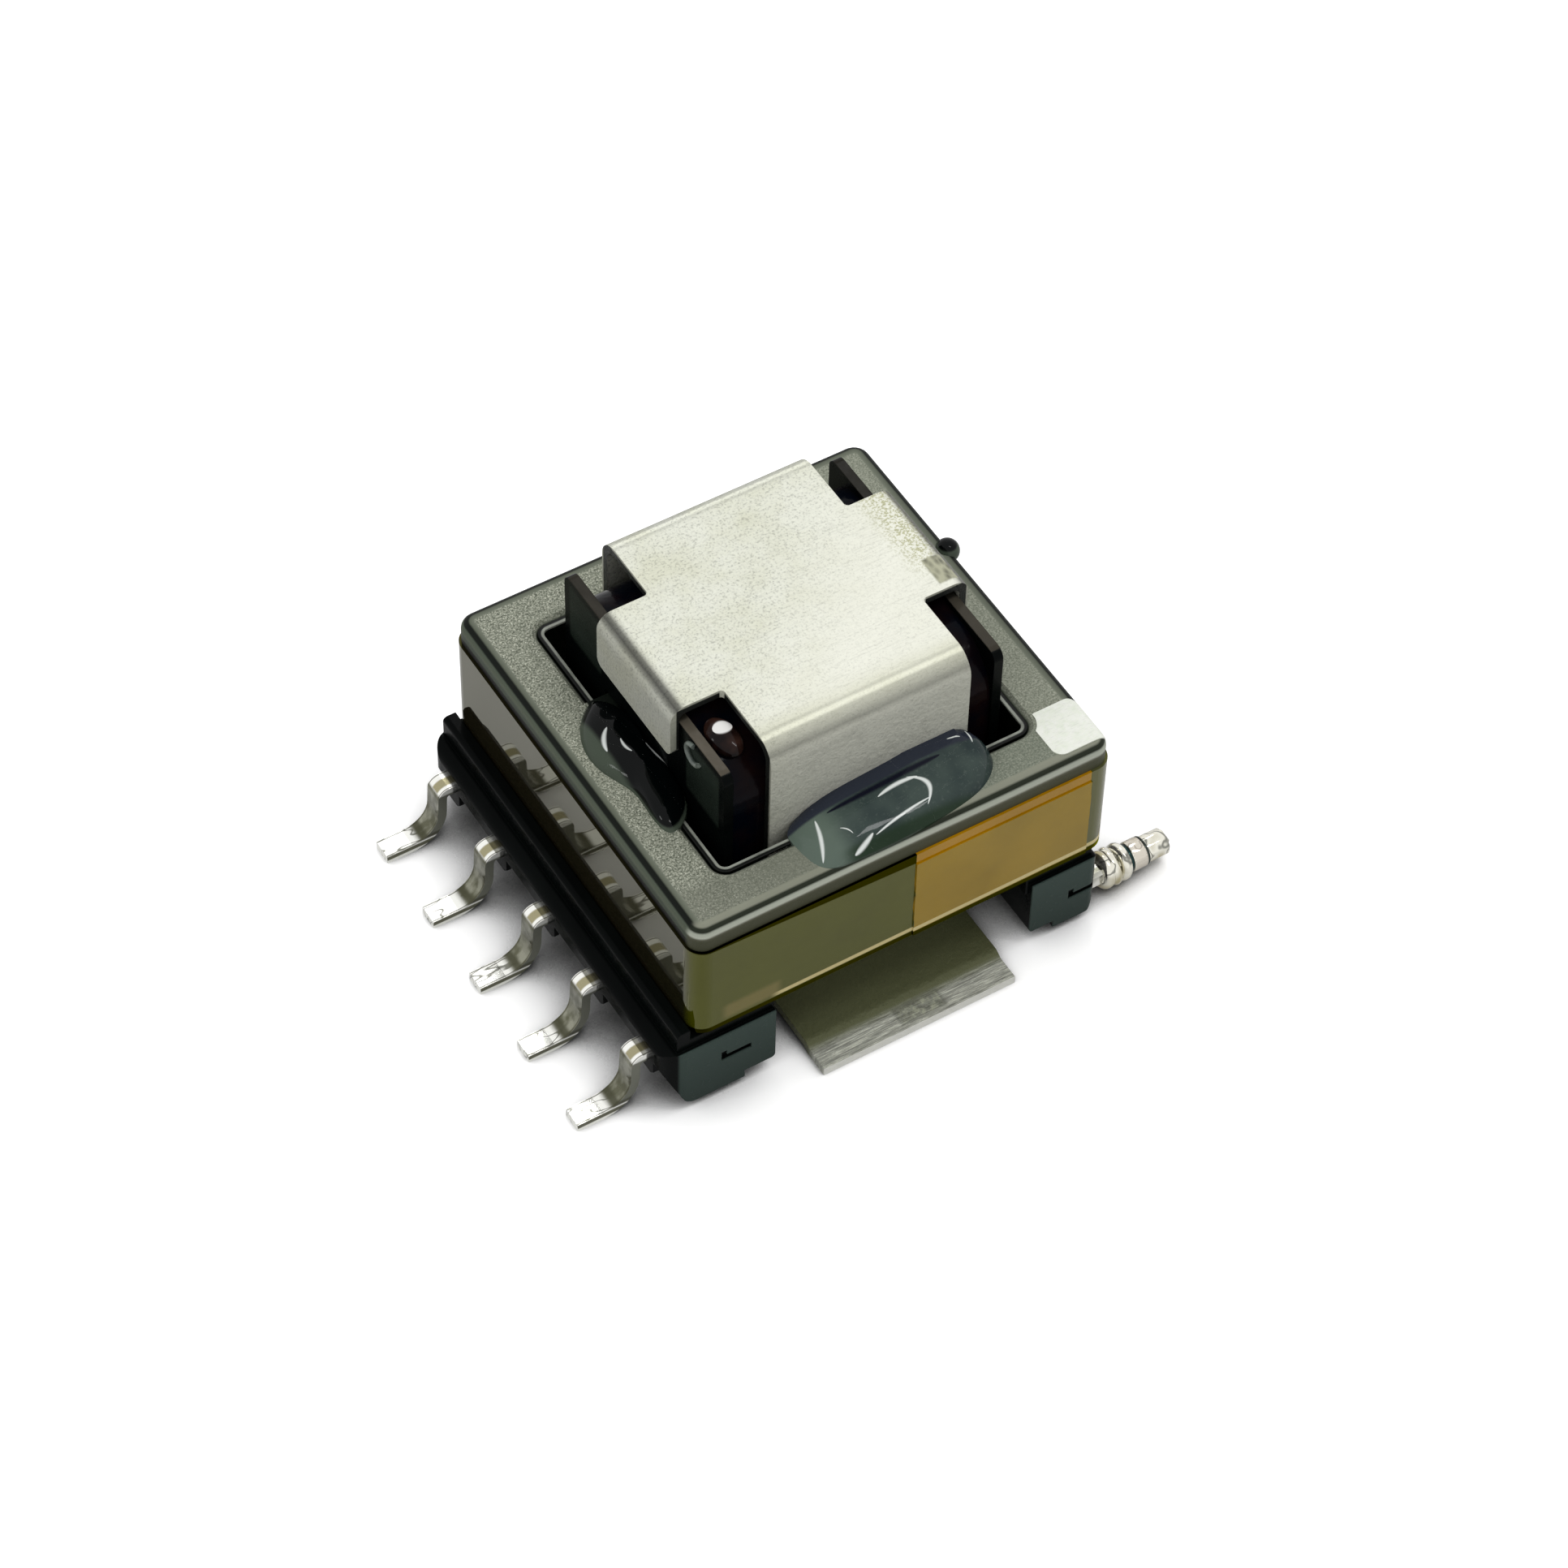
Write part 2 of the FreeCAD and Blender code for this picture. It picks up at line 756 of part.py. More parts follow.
os.makedirs("parts", exist_ok=True)

core_left = core_half(-1)
core_right = core_half(1)
tape_shape = core_tape()
bobbin_shape = bobbin()
strap_shape = strap()
save(core_left, "core_half_left")
save(core_right, "core_half_right")
save(tape_shape, "core_tape")
save(bobbin_shape, "bobbin")
save(strap_shape, "copper_strap")

layer_builds = [
    ("primary_winding", primary_build),
    ("insulation_tape", insulation_build),
    ("auxiliary_winding", auxiliary_build),
    ("winding_cover_tape", cover_build),
]
reached = 0
layers = []
for layer_name, build in layer_builds:
    layers.append(winding_layer(reached, reached + build))
    save(layers[-1], layer_name)
    reached = reached + build

for lead_index in range(lead_count):
    save(lead(lead_index), "lead_" + str(lead_index + 1))
for post_index in range(post_count):
    save(post(post_index), "post_" + str(post_index + 1))
    save(wire_wrap(post_index), "wire_wrap_" + str(post_index + 1))

save(polarity_mark(), "polarity_mark")

glue_neighbours = [core_left, core_right, tape_shape, bobbin_shape, strap_shape, layers[-1]]
save(bead(left_bead_outline, left_bead_peak, left_bead_levels, beside_flange), "glue_left")
save(bead(front_bead_outline, front_bead_peak, front_bead_levels, before_strap), "glue_front")
drop_height = core_top - core_edge_radius / 2
drop_place = Vector(core_length / 2 - side_drop_inset, side_drop_place, drop_height)
save(adhesive(Part.makeSphere(side_drop_radius, drop_place)), "glue_right")
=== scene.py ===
import math
import bpy
import bmesh
from mathutils import Matrix, Vector


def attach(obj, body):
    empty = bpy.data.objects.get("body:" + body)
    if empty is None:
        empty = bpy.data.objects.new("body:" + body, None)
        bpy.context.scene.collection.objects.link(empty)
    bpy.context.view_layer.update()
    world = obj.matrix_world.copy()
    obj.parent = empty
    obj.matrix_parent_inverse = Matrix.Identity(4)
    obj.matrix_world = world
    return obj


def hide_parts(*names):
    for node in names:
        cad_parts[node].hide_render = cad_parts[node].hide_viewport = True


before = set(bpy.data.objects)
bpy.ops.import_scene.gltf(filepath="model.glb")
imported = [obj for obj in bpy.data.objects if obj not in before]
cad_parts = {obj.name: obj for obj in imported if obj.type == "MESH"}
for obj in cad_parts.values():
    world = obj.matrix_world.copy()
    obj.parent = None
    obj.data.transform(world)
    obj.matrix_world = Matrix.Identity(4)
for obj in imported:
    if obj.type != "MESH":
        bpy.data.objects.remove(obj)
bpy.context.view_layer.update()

print("frame loaded, nodes:", len(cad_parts))

# everything below is given in millimetres and turned into metres by this
mm = 0.001
far = 20    # beyond the part on every side, for bands that are open at one end

# camera at the photograph's viewing angle
cameraSet = {
    "azimuth": -32.614,      # degrees, 0 looks along +Y
    "elevation": 50.775,
    "roll": 1.582,
    "distance": 131.2,       # from the target
    "target": (0, 0, 3.0),
    "lens": 116.12,
    "shift": (0.00355, -0.00634),
}


def placeCamera():
    azimuth = math.radians(cameraSet["azimuth"])
    elevation = math.radians(cameraSet["elevation"])
    roll = math.radians(cameraSet["roll"])
    back = Vector((
        math.sin(azimuth) * math.cos(elevation),
        -math.cos(azimuth) * math.cos(elevation),
        math.sin(elevation),
    ))
    right = (-back).cross(Vector((0, 0, 1))).normalized()
    up = right.cross(-back).normalized()
    turnedRight = right * math.cos(roll) + up * math.sin(roll)
    turnedUp = up * math.cos(roll) - right * math.sin(roll)
    place = (Vector(cameraSet["target"]) + back * cameraSet["distance"]) * mm
    data = bpy.data.cameras.new("photoCamera")
    data.lens = cameraSet["lens"]
    data.sensor_width = 36
    data.shift_x, data.shift_y = cameraSet["shift"]
    data.clip_start = 0.005
    data.clip_end = 20
    camera = bpy.data.objects.new("photoCamera", data)
    turn = Matrix((turnedRight, turnedUp, back)).transposed().to_4x4()
    camera.matrix_world = Matrix.Translation(place) @ turn
    bpy.context.scene.collection.objects.link(camera)
    bpy.context.scene.camera = camera


placeCamera()
print("camera placed")


# small helpers for material nodes
def newMaterial(name):
    material = bpy.data.materials.new(name)
    material.use_nodes = True
    tree = material.node_tree
    tree.nodes.clear()
    output = tree.nodes.new("ShaderNodeOutputMaterial")
    shader = tree.nodes.new("ShaderNodeBsdfPrincipled")
    tree.links.new(shader.outputs[0], output.inputs[0])
    return material, tree, shader


def addNode(tree, kind, **settings):
    node = tree.nodes.new(kind)
    for key, value in settings.items():
        if hasattr(node, key):
            setattr(node, key, value)
        else:
            node.inputs[key.replace("_", " ")].default_value = value
    return node


def millimetres(tree):
    # object coordinates counted in millimetres
    place = addNode(tree, "ShaderNodeTexCoord")
    scaled = addNode(tree, "ShaderNodeVectorMath", operation="SCALE")
    scaled.inputs["Scale"].default_value = 1 / mm
    tree.links.new(place.outputs["Object"], scaled.inputs[0])
    return scaled.outputs[0]


def stretched(tree, vector, scale):
    mapping = addNode(tree, "ShaderNodeMapping")
    mapping.inputs["Scale"].default_value = scale
    tree.links.new(vector, mapping.inputs["Vector"])
    return mapping.outputs[0]


def noise(tree, vector, scale, detail=3.0, roughness=0.55):
    node = addNode(tree, "ShaderNodeTexNoise", Scale=scale, Detail=detail, Roughness=roughness)
    tree.links.new(vector, node.inputs["Vector"])
    return node.outputs["Fac"]


def cells(tree, vector, scale):
    node = addNode(tree, "ShaderNodeTexVoronoi", Scale=scale)
    tree.links.new(vector, node.inputs["Vector"])
    return node.outputs["Distance"]


def ramp(tree, value, stops):
    node = addNode(tree, "ShaderNodeValToRGB")
    elements = node.color_ramp.elements
    while len(elements) < len(stops):
        elements.new(0.5)
    for element, (place, colour) in zip(elements, stops):
        element.position = place
        if isinstance(colour, (int, float)):
            colour = (colour, colour, colour)
        element.color = (*colour[:3], 1)
    tree.links.new(value, node.inputs["Fac"])
    return node.outputs["Color"]


def mix(tree, factor, first, second, blend="MIX"):
    node = addNode(tree, "ShaderNodeMix", data_type="RGBA", blend_type=blend)
    sockets = (node.inputs["Factor"], node.inputs[6], node.inputs[7])
    for socket, value in zip(sockets, (factor, first, second)):
        if isinstance(value, bpy.types.NodeSocket):
            tree.links.new(value, socket)
        elif isinstance(value, (int, float)):
            socket.default_value = value
        else:
            socket.default_value = (*value[:3], 1)
    return node.outputs[2]


def maths(tree, operation, first, second=0.0, third=0.0):
    node = addNode(tree, "ShaderNodeMath", operation=operation)
    for socket, value in zip(node.inputs, (first, second, third)):
        if isinstance(value, bpy.types.NodeSocket):
            tree.links.new(value, socket)
        else:
            socket.default_value = value
    return node.outputs[0]


def times(tree, first, second):
    return maths(tree, "MULTIPLY", first, second)


def tinted(tree, colour, tint):
    return mix(tree, 1.0, colour, tint, "MULTIPLY")


def axes(tree, vector):
    node = addNode(tree, "ShaderNodeSeparateXYZ")
    tree.links.new(vector, node.inputs[0])
    return node.outputs


def band(tree, value, low, high, soft=0.05):
    # 1 between low and high, with soft edges
    rise = addNode(tree, "ShaderNodeMapRange", interpolation_type="SMOOTHSTEP")
    for socket, number in zip(list(rise.inputs)[1:5], (low - soft, low + soft, 0, 1)):
        socket.default_value = number
    fall = addNode(tree, "ShaderNodeMapRange", interpolation_type="SMOOTHSTEP")
    for socket, number in zip(list(fall.inputs)[1:5], (high - soft, high + soft, 1, 0)):
        socket.default_value = number
    tree.links.new(value, rise.inputs[0])
    tree.links.new(value, fall.inputs[0])
    return times(tree, rise.outputs[0], fall.outputs[0])


def crescent(tree, x, y, start, end, width, bow=0.0, soft=0.5):
    # 1 inside a bowed stroke that thins out at both ends; width is half its thickness
    runX, runY = end[0] - start[0], end[1] - start[1]
    length = math.hypot(runX, runY)
    fromX = maths(tree, "SUBTRACT", x, start[0])
    fromY = maths(tree, "SUBTRACT", y, start[1])
    alongX, alongY = runX / length, runY / length
    part = maths(tree, "ADD", times(tree, fromX, alongX / length), times(tree, fromY, alongY / length))
    beside = maths(tree, "SUBTRACT", times(tree, fromY, alongX), times(tree, fromX, alongY))
    swell = times(tree, times(tree, part, maths(tree, "SUBTRACT", 1, part)), 4)
    swell = maths(tree, "MAXIMUM", swell, 0)
    beside = maths(tree, "ABSOLUTE", maths(tree, "SUBTRACT", beside, times(tree, swell, bow)))
    reach = maths(tree, "MULTIPLY_ADD", maths(tree, "SQRT", swell), width, 0.0001)
    return band(tree, maths(tree, "DIVIDE", beside, reach), -far, 0.75, soft)


def bump(tree, shader, height, depth, after=None):
    # depth in millimetres, added to the normal after if there is one
    node = addNode(tree, "ShaderNodeBump")
    node.inputs["Strength"].default_value = 1
    node.inputs["Distance"].default_value = depth * mm
    tree.links.new(height, node.inputs["Height"])
    if after is not None:
        tree.links.new(after, node.inputs["Normal"])
    tree.links.new(node.outputs[0], shader.inputs["Normal"])


def dress(names, material):
    for name in names:
        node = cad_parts[name]
        node.data.materials.clear()
        node.data.materials.append(material)


# ferrite core, ground flat on top and left as fired elsewhere
ferriteSet = {
    "groundLight": (0.6, 0.61, 0.5),
    "groundMiddle": (0.285, 0.305, 0.24),
    "groundDark": (0.085, 0.095, 0.07),
    "paintedGlint": (0.9, 0.92, 0.78),
    "broadTone": (0.17, 0.185, 0.135),
    "frontCalm": (0.17, 0.18, 0.14),
    "frontGreen": (0.08, 0.11, 0.08),
    "windowShade": (0.004, 0.007, 0.004),
    "grain": 19.0,           # grains for each millimetre
    "roughness": 0.5,
    "top": 6.85,
    "half": (6.12, 6.03),    # half sizes of the core and of its window, with their corner radii
    "corner": 0.45,
    "edge": 0.28,
    "windowHalf": (4.6, 4.65),
    "windowCorner": 0.4,
    # colours along the rounded rim, counted in millimetres from the flat top down the side: painted
    # shade lines, on the front a painted highlight line, the fired side, then painted shadow above the
    # tape
    "frontRimPaintedLight": [
        (-0.1, (0.3, 0.31, 0.24)), (0.1, (0.26, 0.27, 0.21)), (0.17, (0.02, 0.025, 0.015)),
        (0.3, (0.02, 0.025, 0.015)), (0.37, (0.45, 0.48, 0.4)), (0.5, (0.6, 0.63, 0.53)),
        (0.58, (0.12, 0.12, 0.08)), (0.66, (0.075, 0.078, 0.045)), (0.99, (0.07, 0.072, 0.042)),
        (1.05, (0.001, 0.001, 0.001)),
    ],
    "sideRimPaintedLight": [
        (-0.1, (0.2, 0.22, 0.17)), (0.04, (0.12, 0.135, 0.1)), (0.1, (0.002, 0.004, 0.002)),
        (0.26, (0.002, 0.004, 0.002)), (0.33, (0.09, 0.11, 0.08)), (0.5, (0.11, 0.13, 0.09)),
        (0.62, (0.05, 0.065, 0.045)), (0.74, (0.045, 0.06, 0.04)), (0.8, (0.001, 0.001, 0.001)),
    ],
}


def cornerDistance(tree, x, y, half, radius):
    # distance out from a rectangle with rounded corners
    parts = []
    for value, size in ((x, half[0]), (y, half[1])):
        beyond = maths(tree, "SUBTRACT", maths(tree, "ABSOLUTE", value), size - radius)
        parts.append(maths(tree, "POWER", maths(tree, "MAXIMUM", beyond, 0), 2))
    return maths(tree, "SUBTRACT", maths(tree, "SQRT", maths(tree, "ADD", *parts)), radius)


def rimColour(tree, along, stops):
    low, high = stops[0][0], stops[-1][0] + 0.3
    part = maths(tree, "DIVIDE", maths(tree, "SUBTRACT", along, low), high - low)
    return ramp(tree, part, [((place - low) / (high - low), colour) for place, colour in stops])


def ferriteMaterial():
    material, tree, shader = newMaterial("sinteredFerrite")
    place = millimetres(tree)
    x, y, z = axes(tree, place)[:3]
    grain = noise(tree, place, ferriteSet["grain"], 2.0, 0.8)
    glints = cells(tree, place, ferriteSet["grain"] * 0.6)
    broad = noise(tree, place, 0.7, 3.0)
    ground = ramp(tree, grain, [
        (0.36, ferriteSet["groundDark"]),
        (0.5, ferriteSet["groundMiddle"]),
        (0.66, ferriteSet["groundLight"]),
    ])
    # painted glints, stronger on the left and back of the top than on the front
    backLeft = times(tree, band(tree, y, 4.2, far, 1), band(tree, x, -far, 0.5, 2))
    glitter = maths(tree, "MAXIMUM", band(tree, x, -far, -3.5, 1.2), backLeft)
    paintedGlint = times(tree, ramp(tree, glints, [(0.1, 1.0), (0.24, 0.0)]),
                    maths(tree, "MULTIPLY_ADD", glitter, 0.7, 0.2))
    calmness = maths(tree, "MULTIPLY_ADD", glitter, -0.45, 0.5)
    ground = mix(tree, calmness, ground, ferriteSet["groundMiddle"])
    ground = mix(tree, paintedGlint, ground, ferriteSet["paintedGlint"])
    ground = mix(tree, times(tree, broad, 0.25), ground, ferriteSet["broadTone"])
    nearFront = times(tree, band(tree, x, -far, 1.0, 1.5), band(tree, y, -far, -4.6, 0.4))
    ground = mix(tree, times(tree, nearFront, 0.6), ground, ferriteSet["frontCalm"])
    rightFront = times(tree, band(tree, x, 1.5, far, 1.5), band(tree, y, -far, -4.6, 0.4))
    ground = mix(tree, times(tree, rightFront, 0.3), ground, ferriteSet["frontGreen"])
    # rim with its painted highlight and shade, a little further out to the right
    outward = cornerDistance(tree, x, y, ferriteSet["half"], ferriteSet["corner"])
    drop = maths(tree, "SUBTRACT", ferriteSet["top"], z)
    along = maths(tree, "ADD", maths(tree, "ADD", outward, ferriteSet["edge"]), drop)
    along = times(tree, along, maths(tree, "MULTIPLY_ADD", band(tree, x, 1, far, 2), -0.1, 1))
    front = band(tree, y, -far, -5.62, 0.12)
    rim = mix(tree, front, rimColour(tree, along, ferriteSet["sideRimPaintedLight"]),
              rimColour(tree, along, ferriteSet["frontRimPaintedLight"]))
    colour = mix(tree, band(tree, along, -0.08, far, 0.03), ground, rim)
    # edge of the window, painted near black as shade inside the opening
    opening = cornerDistance(tree, x, y, ferriteSet["windowHalf"], ferriteSet["windowCorner"])
    colour = mix(tree, band(tree, opening, -1, 0.05, 0.03), colour, ferriteSet["windowShade"])
    tree.links.new(colour, shader.inputs["Base Color"])
    shader.inputs["Roughness"].default_value = ferriteSet["roughness"]
    shader.inputs["Specular IOR Level"].default_value = 0.12
    bump(tree, shader, grain, 0.008)
    return material


dress(["core_half_left", "core_half_right"], ferriteMaterial())


# amber tape round the core: one layer, and a second over part of the front
tapeSet = {
    "side": (0.013, 0.011, 0.005),
    "sideNear": (0.012, 0.011, 0.004),       # towards the front corner
    "single": (0.065, 0.071, 0.001),
    "double": (0.36, 0.21, 0.003),
    "strip": (0.47, 0.22, 0.001),
    "end": (0.085, 0.09, 0.035),
    "curlHighlight": (0.75, 0.62, 0.3),
    "black": (0.001, 0.001, 0.001),
    "doubleFrom": 0.25,
    "doubleTo": 5.5,
    "stripFrom": 5.74,
    "topAtMiddle": 5.78,     # the single layer's upper edge runs slightly askew
    "topSlope": -0.048,
    "curlBand": (3.03, 3.17),
    "scuff": ((-5.3, -3.7), (3.1, 3.6)),     # along X and up
    "scuffTone": (0.3, 0.22, 0.08),
    "roughness": 0.03,
}


def tapeMaterial():
    material, tree, shader = newMaterial("amberCoreTape")
    place = millimetres(tree)
    x, y, z = axes(tree, place)[:3]
    wander = times(tree, maths(tree, "SUBTRACT", noise(tree, place, 1.1, 2.0), 0.5), 0.16)
    front = band(tree, y, -far, -5.72, 0.2)
    golden = band(tree, maths(tree, "ADD", x, wander), tapeSet["doubleFrom"], tapeSet["doubleTo"], 0.012)
    strip = times(tree, golden, band(tree, z, tapeSet["stripFrom"], far, 0.01))
    side = mix(tree, band(tree, y, -far, -4.2, 1.6), tapeSet["side"], tapeSet["sideNear"])
    face = mix(tree, golden, tapeSet["single"], tapeSet["double"])
    face = mix(tree, band(tree, x, tapeSet["doubleTo"], far, 0.012), face, tapeSet["end"])
    face = mix(tree, strip, face, tapeSet["strip"])
    cloud = ramp(tree, noise(tree, place, 0.55, 3.0), [(0.3, 0.85), (0.75, 1.1)])
    face = tinted(tree, face, cloud)
    # a paler patch near the corner, a painted highlight on the curled lower edge, and painted shadow
    # below it and in the gap above
    along, up = tapeSet["scuff"]
    scuff = times(tree, band(tree, x, *along, 0.15), band(tree, z, *up, 0.12))
    face = mix(tree, times(tree, scuff, 0.5), face, tapeSet["scuffTone"])
    curlHighlight = times(tree, band(tree, z, *tapeSet["curlBand"], 0.02), band(tree, x, -3.8, far, 0.2))
    face = mix(tree, curlHighlight, face, tapeSet["curlHighlight"])
    below = band(tree, z, 0, tapeSet["curlBand"][0] - 0.02, 0.02)
    upperEdge = maths(tree, "MULTIPLY_ADD", x, tapeSet["topSlope"], tapeSet["topAtMiddle"])
    upper = maths(tree, "SUBTRACT", z, upperEdge)
    above = times(tree, band(tree, upper, 0, 2, 0.02), band(tree, x, -far, tapeSet["doubleFrom"], 0.012))
    paintedShadow = maths(tree, "MAXIMUM", below, above)
    face = mix(tree, paintedShadow, face, tapeSet["black"])
    tree.links.new(mix(tree, front, side, face), shader.inputs["Base Color"])
    shader.inputs["Roughness"].default_value = tapeSet["roughness"]
    # a black metal reflects least, so the painted shadow is one
    tree.links.new(times(tree, paintedShadow, front), shader.inputs["Metallic"])
    shader.inputs["Specular IOR Level"].default_value = 0.5
    shader.inputs["Specular Tint"].default_value = (1, 0.97, 0.2, 1)
    bump(tree, shader, noise(tree, place, 0.6, 0.0), 0.005)
    return material


dress(["core_tape"], tapeMaterial())


# moulded bobbin
bobbinSet = {
    "black": (0.001, 0.0015, 0.0015),
    "worn": (0.003, 0.0045, 0.004),
    "endFaceReflection": (0.055, 0.08, 0.07),
    "endFrom": 6.08,
    "pane": (0.03, 0.042, 0.032),            # lighter middle of a flange's outer face
    "paneSpan": ((2.1, 3.65), (7.3, 9.15)),
    "flangeFace": (4.04, 4.06),
    "ridge": (0.12, 0.105, 0.08),            # paler top edges of the flanges, most in the front notch
    "ridgeFrom": 9.37,
    "notchTo": -1.75,
    "roughness": (0.2, 0.3),
    "edgeRounding": 0.03,
}


def bobbinMaterial():
    material, tree, shader = newMaterial("blackMoulding")
    place = millimetres(tree)
    x, y, z = axes(tree, place)[:3]
    flow = noise(tree, stretched(tree, place, (0.6, 0.25, 0.6)), 1.2, 4.0)
    colour = ramp(tree, flow, [(0.35, bobbinSet["black"]), (0.75, bobbinSet["worn"])])
    depth = maths(tree, "ABSOLUTE", y)
    # the end faces are teal-black, painted lighter as a reflection of the floor and darker towards the
    # bottom as painted shade
    ends = band(tree, depth, bobbinSet["endFrom"], far, 0.02)
    shade = ramp(tree, times(tree, z, 0.4), [(0.15, 0.75), (0.9, 1.1)])
    colour = mix(tree, ends, colour, tinted(tree, bobbinSet["endFaceReflection"], shade))
    wide, tall = bobbinSet["paneSpan"]
    pane = times(tree, band(tree, depth, *wide, 0.06), band(tree, z, *tall, 0.12))
    outside = band(tree, maths(tree, "ABSOLUTE", x), *bobbinSet["flangeFace"], 0.004)
    pane = times(tree, pane, outside)
    colour = mix(tree, times(tree, pane, flow), colour, bobbinSet["pane"])
    inNotch = maths(tree, "MULTIPLY_ADD", band(tree, y, -far, bobbinSet["notchTo"], 0.05), 0.65, 0.35)
    onLeft = maths(tree, "MULTIPLY_ADD", band(tree, x, -far, 0, 0.1), 0.5, 0.5)
    ridge = times(tree, inNotch, onLeft)
    ridge = times(tree, ridge, band(tree, z, bobbinSet["ridgeFrom"], far, 0.01))
    ridge = times(tree, ridge, times(tree, flow, 1.6))
    colour = mix(tree, ridge, colour, bobbinSet["ridge"])
    tree.links.new(colour, shader.inputs["Base Color"])
    fine = noise(tree, place, 6.0, 2.0)
    low, high = bobbinSet["roughness"]
    tree.links.new(ramp(tree, fine, [(0.3, low), (0.8, high)]), shader.inputs["Roughness"])
    shader.inputs["Specular IOR Level"].default_value = 0.03
    rounded = addNode(tree, "ShaderNodeBevel", samples=4)
    rounded.inputs["Radius"].default_value = bobbinSet["edgeRounding"] * mm
    bump(tree, shader, fine, 0.0006, rounded.outputs[0])
    return material


dress(["bobbin"], bobbinMaterial())


# tinned copper strap
strapSet = {
    "tin": (0.875, 0.89, 0.775),
    "tinBright": (0.97, 0.975, 0.86),        # painted light towards the front right
    "dull": (0.8, 0.81, 0.66),
    "yellow": (0.5, 0.5, 0.28),
    "top": 9.95,
    "middle": 0.06,
    "halfWidth": 2.9,
    "earSide": 1.8,
    "frontFold": (3.43, 4.1),                # where the fold starts and ends, out from the middle
    "earFold": (3.88, 4.33),
    "patch": ((3.6, 4.3), (-1.6, -0.7)),     # rough tin beside the right ear
    "footInnerShade": (0.11, 0.118, 0.055),       # tin under the edge of the core, painted dark olive as shade and reflection of the tape
    "footOuter": (0.52, 0.53, 0.46),
    "footTip": 6.97,
    "footEdgeHighlight": (0.95, 0.95, 0.88),
    "scuff": ((-0.4, 1.0), (6.25, 6.85)),    # along X and out along Y
    "scuffTone": (0.2, 0.21, 0.15),
    "scuffLine": (0.06, 0.065, 0.04),
    "patchTone": (0.5, 0.5, 0.36),
    "edgeShade": (0.012, 0.014, 0.012),
    "edgeSkinHighlight": (0.5, 0.51, 0.42),
    # painted highlight and painted shade across each fold, by the share of the fold that is passed
    "frontStops": [
        (0.0, 1.0), (0.05, 0.9), (0.14, 0.8), (0.25, 1.16), (0.34, 1.16),
        (0.43, 0.74), (0.68, 0.6), (0.86, 0.4), (0.96, 0.66),
    ],
    "earStops": [(0.05, 1.0), (0.26, 0.78), (0.46, 0.24), (0.68, 0.12), (0.86, 0.34), (0.97, 0.63)],
    "roughness": (0.32, 0.5),
    "edgeRounding": 0.03,
}


def foldShade(tree, value, fold, stops):
    start, end = fold
    part = maths(tree, "DIVIDE", maths(tree, "SUBTRACT", value, start), end - start)
    return ramp(tree, part, stops)


def strapFoot(tree, place, x, y):
    depth = maths(tree, "ABSOLUTE", y)
    brushed = noise(tree, stretched(tree, place, (0.5, 9, 1)), 3.0, 4.0, 0.75)
    streaks = ramp(tree, brushed, [(0.34, 0.5), (0.5, 0.95), (0.62, 1.75)])
    outer = tinted(tree, strapSet["footOuter"], streaks)
    # painted shade under the core, grading out to the lighter foot
    foot = mix(tree, band(tree, depth, 6.33, far, 0.16), strapSet["footInnerShade"], outer)
    # a scuffed place inside a thin outline
    across, out = strapSet["scuff"]
    scuff = times(tree, band(tree, x, *across, 0.06), band(tree, depth, *out, 0.05))
    inner = times(tree, band(tree, x, across[0] + 0.07, across[1] - 0.07, 0.03),
                  band(tree, depth, out[0] + 0.06, out[1] - 0.06, 0.03))
    worn = ramp(tree, noise(tree, place, 4.0, 3.0, 0.7), [(0.38, 0.45), (0.5, 1.2), (0.62, 2.6)])
    foot = mix(tree, times(tree, inner, 0.6), foot, tinted(tree, strapSet["scuffTone"], worn))
    outline = maths(tree, "SUBTRACT", scuff, inner)
    foot = mix(tree, times(tree, outline, 0.45), foot, strapSet["scuffLine"])
    # a painted highlight along the foot's tip
    return mix(tree, band(tree, depth, strapSet["footTip"], far, 0.008), foot, strapSet["footEdgeHighlight"])


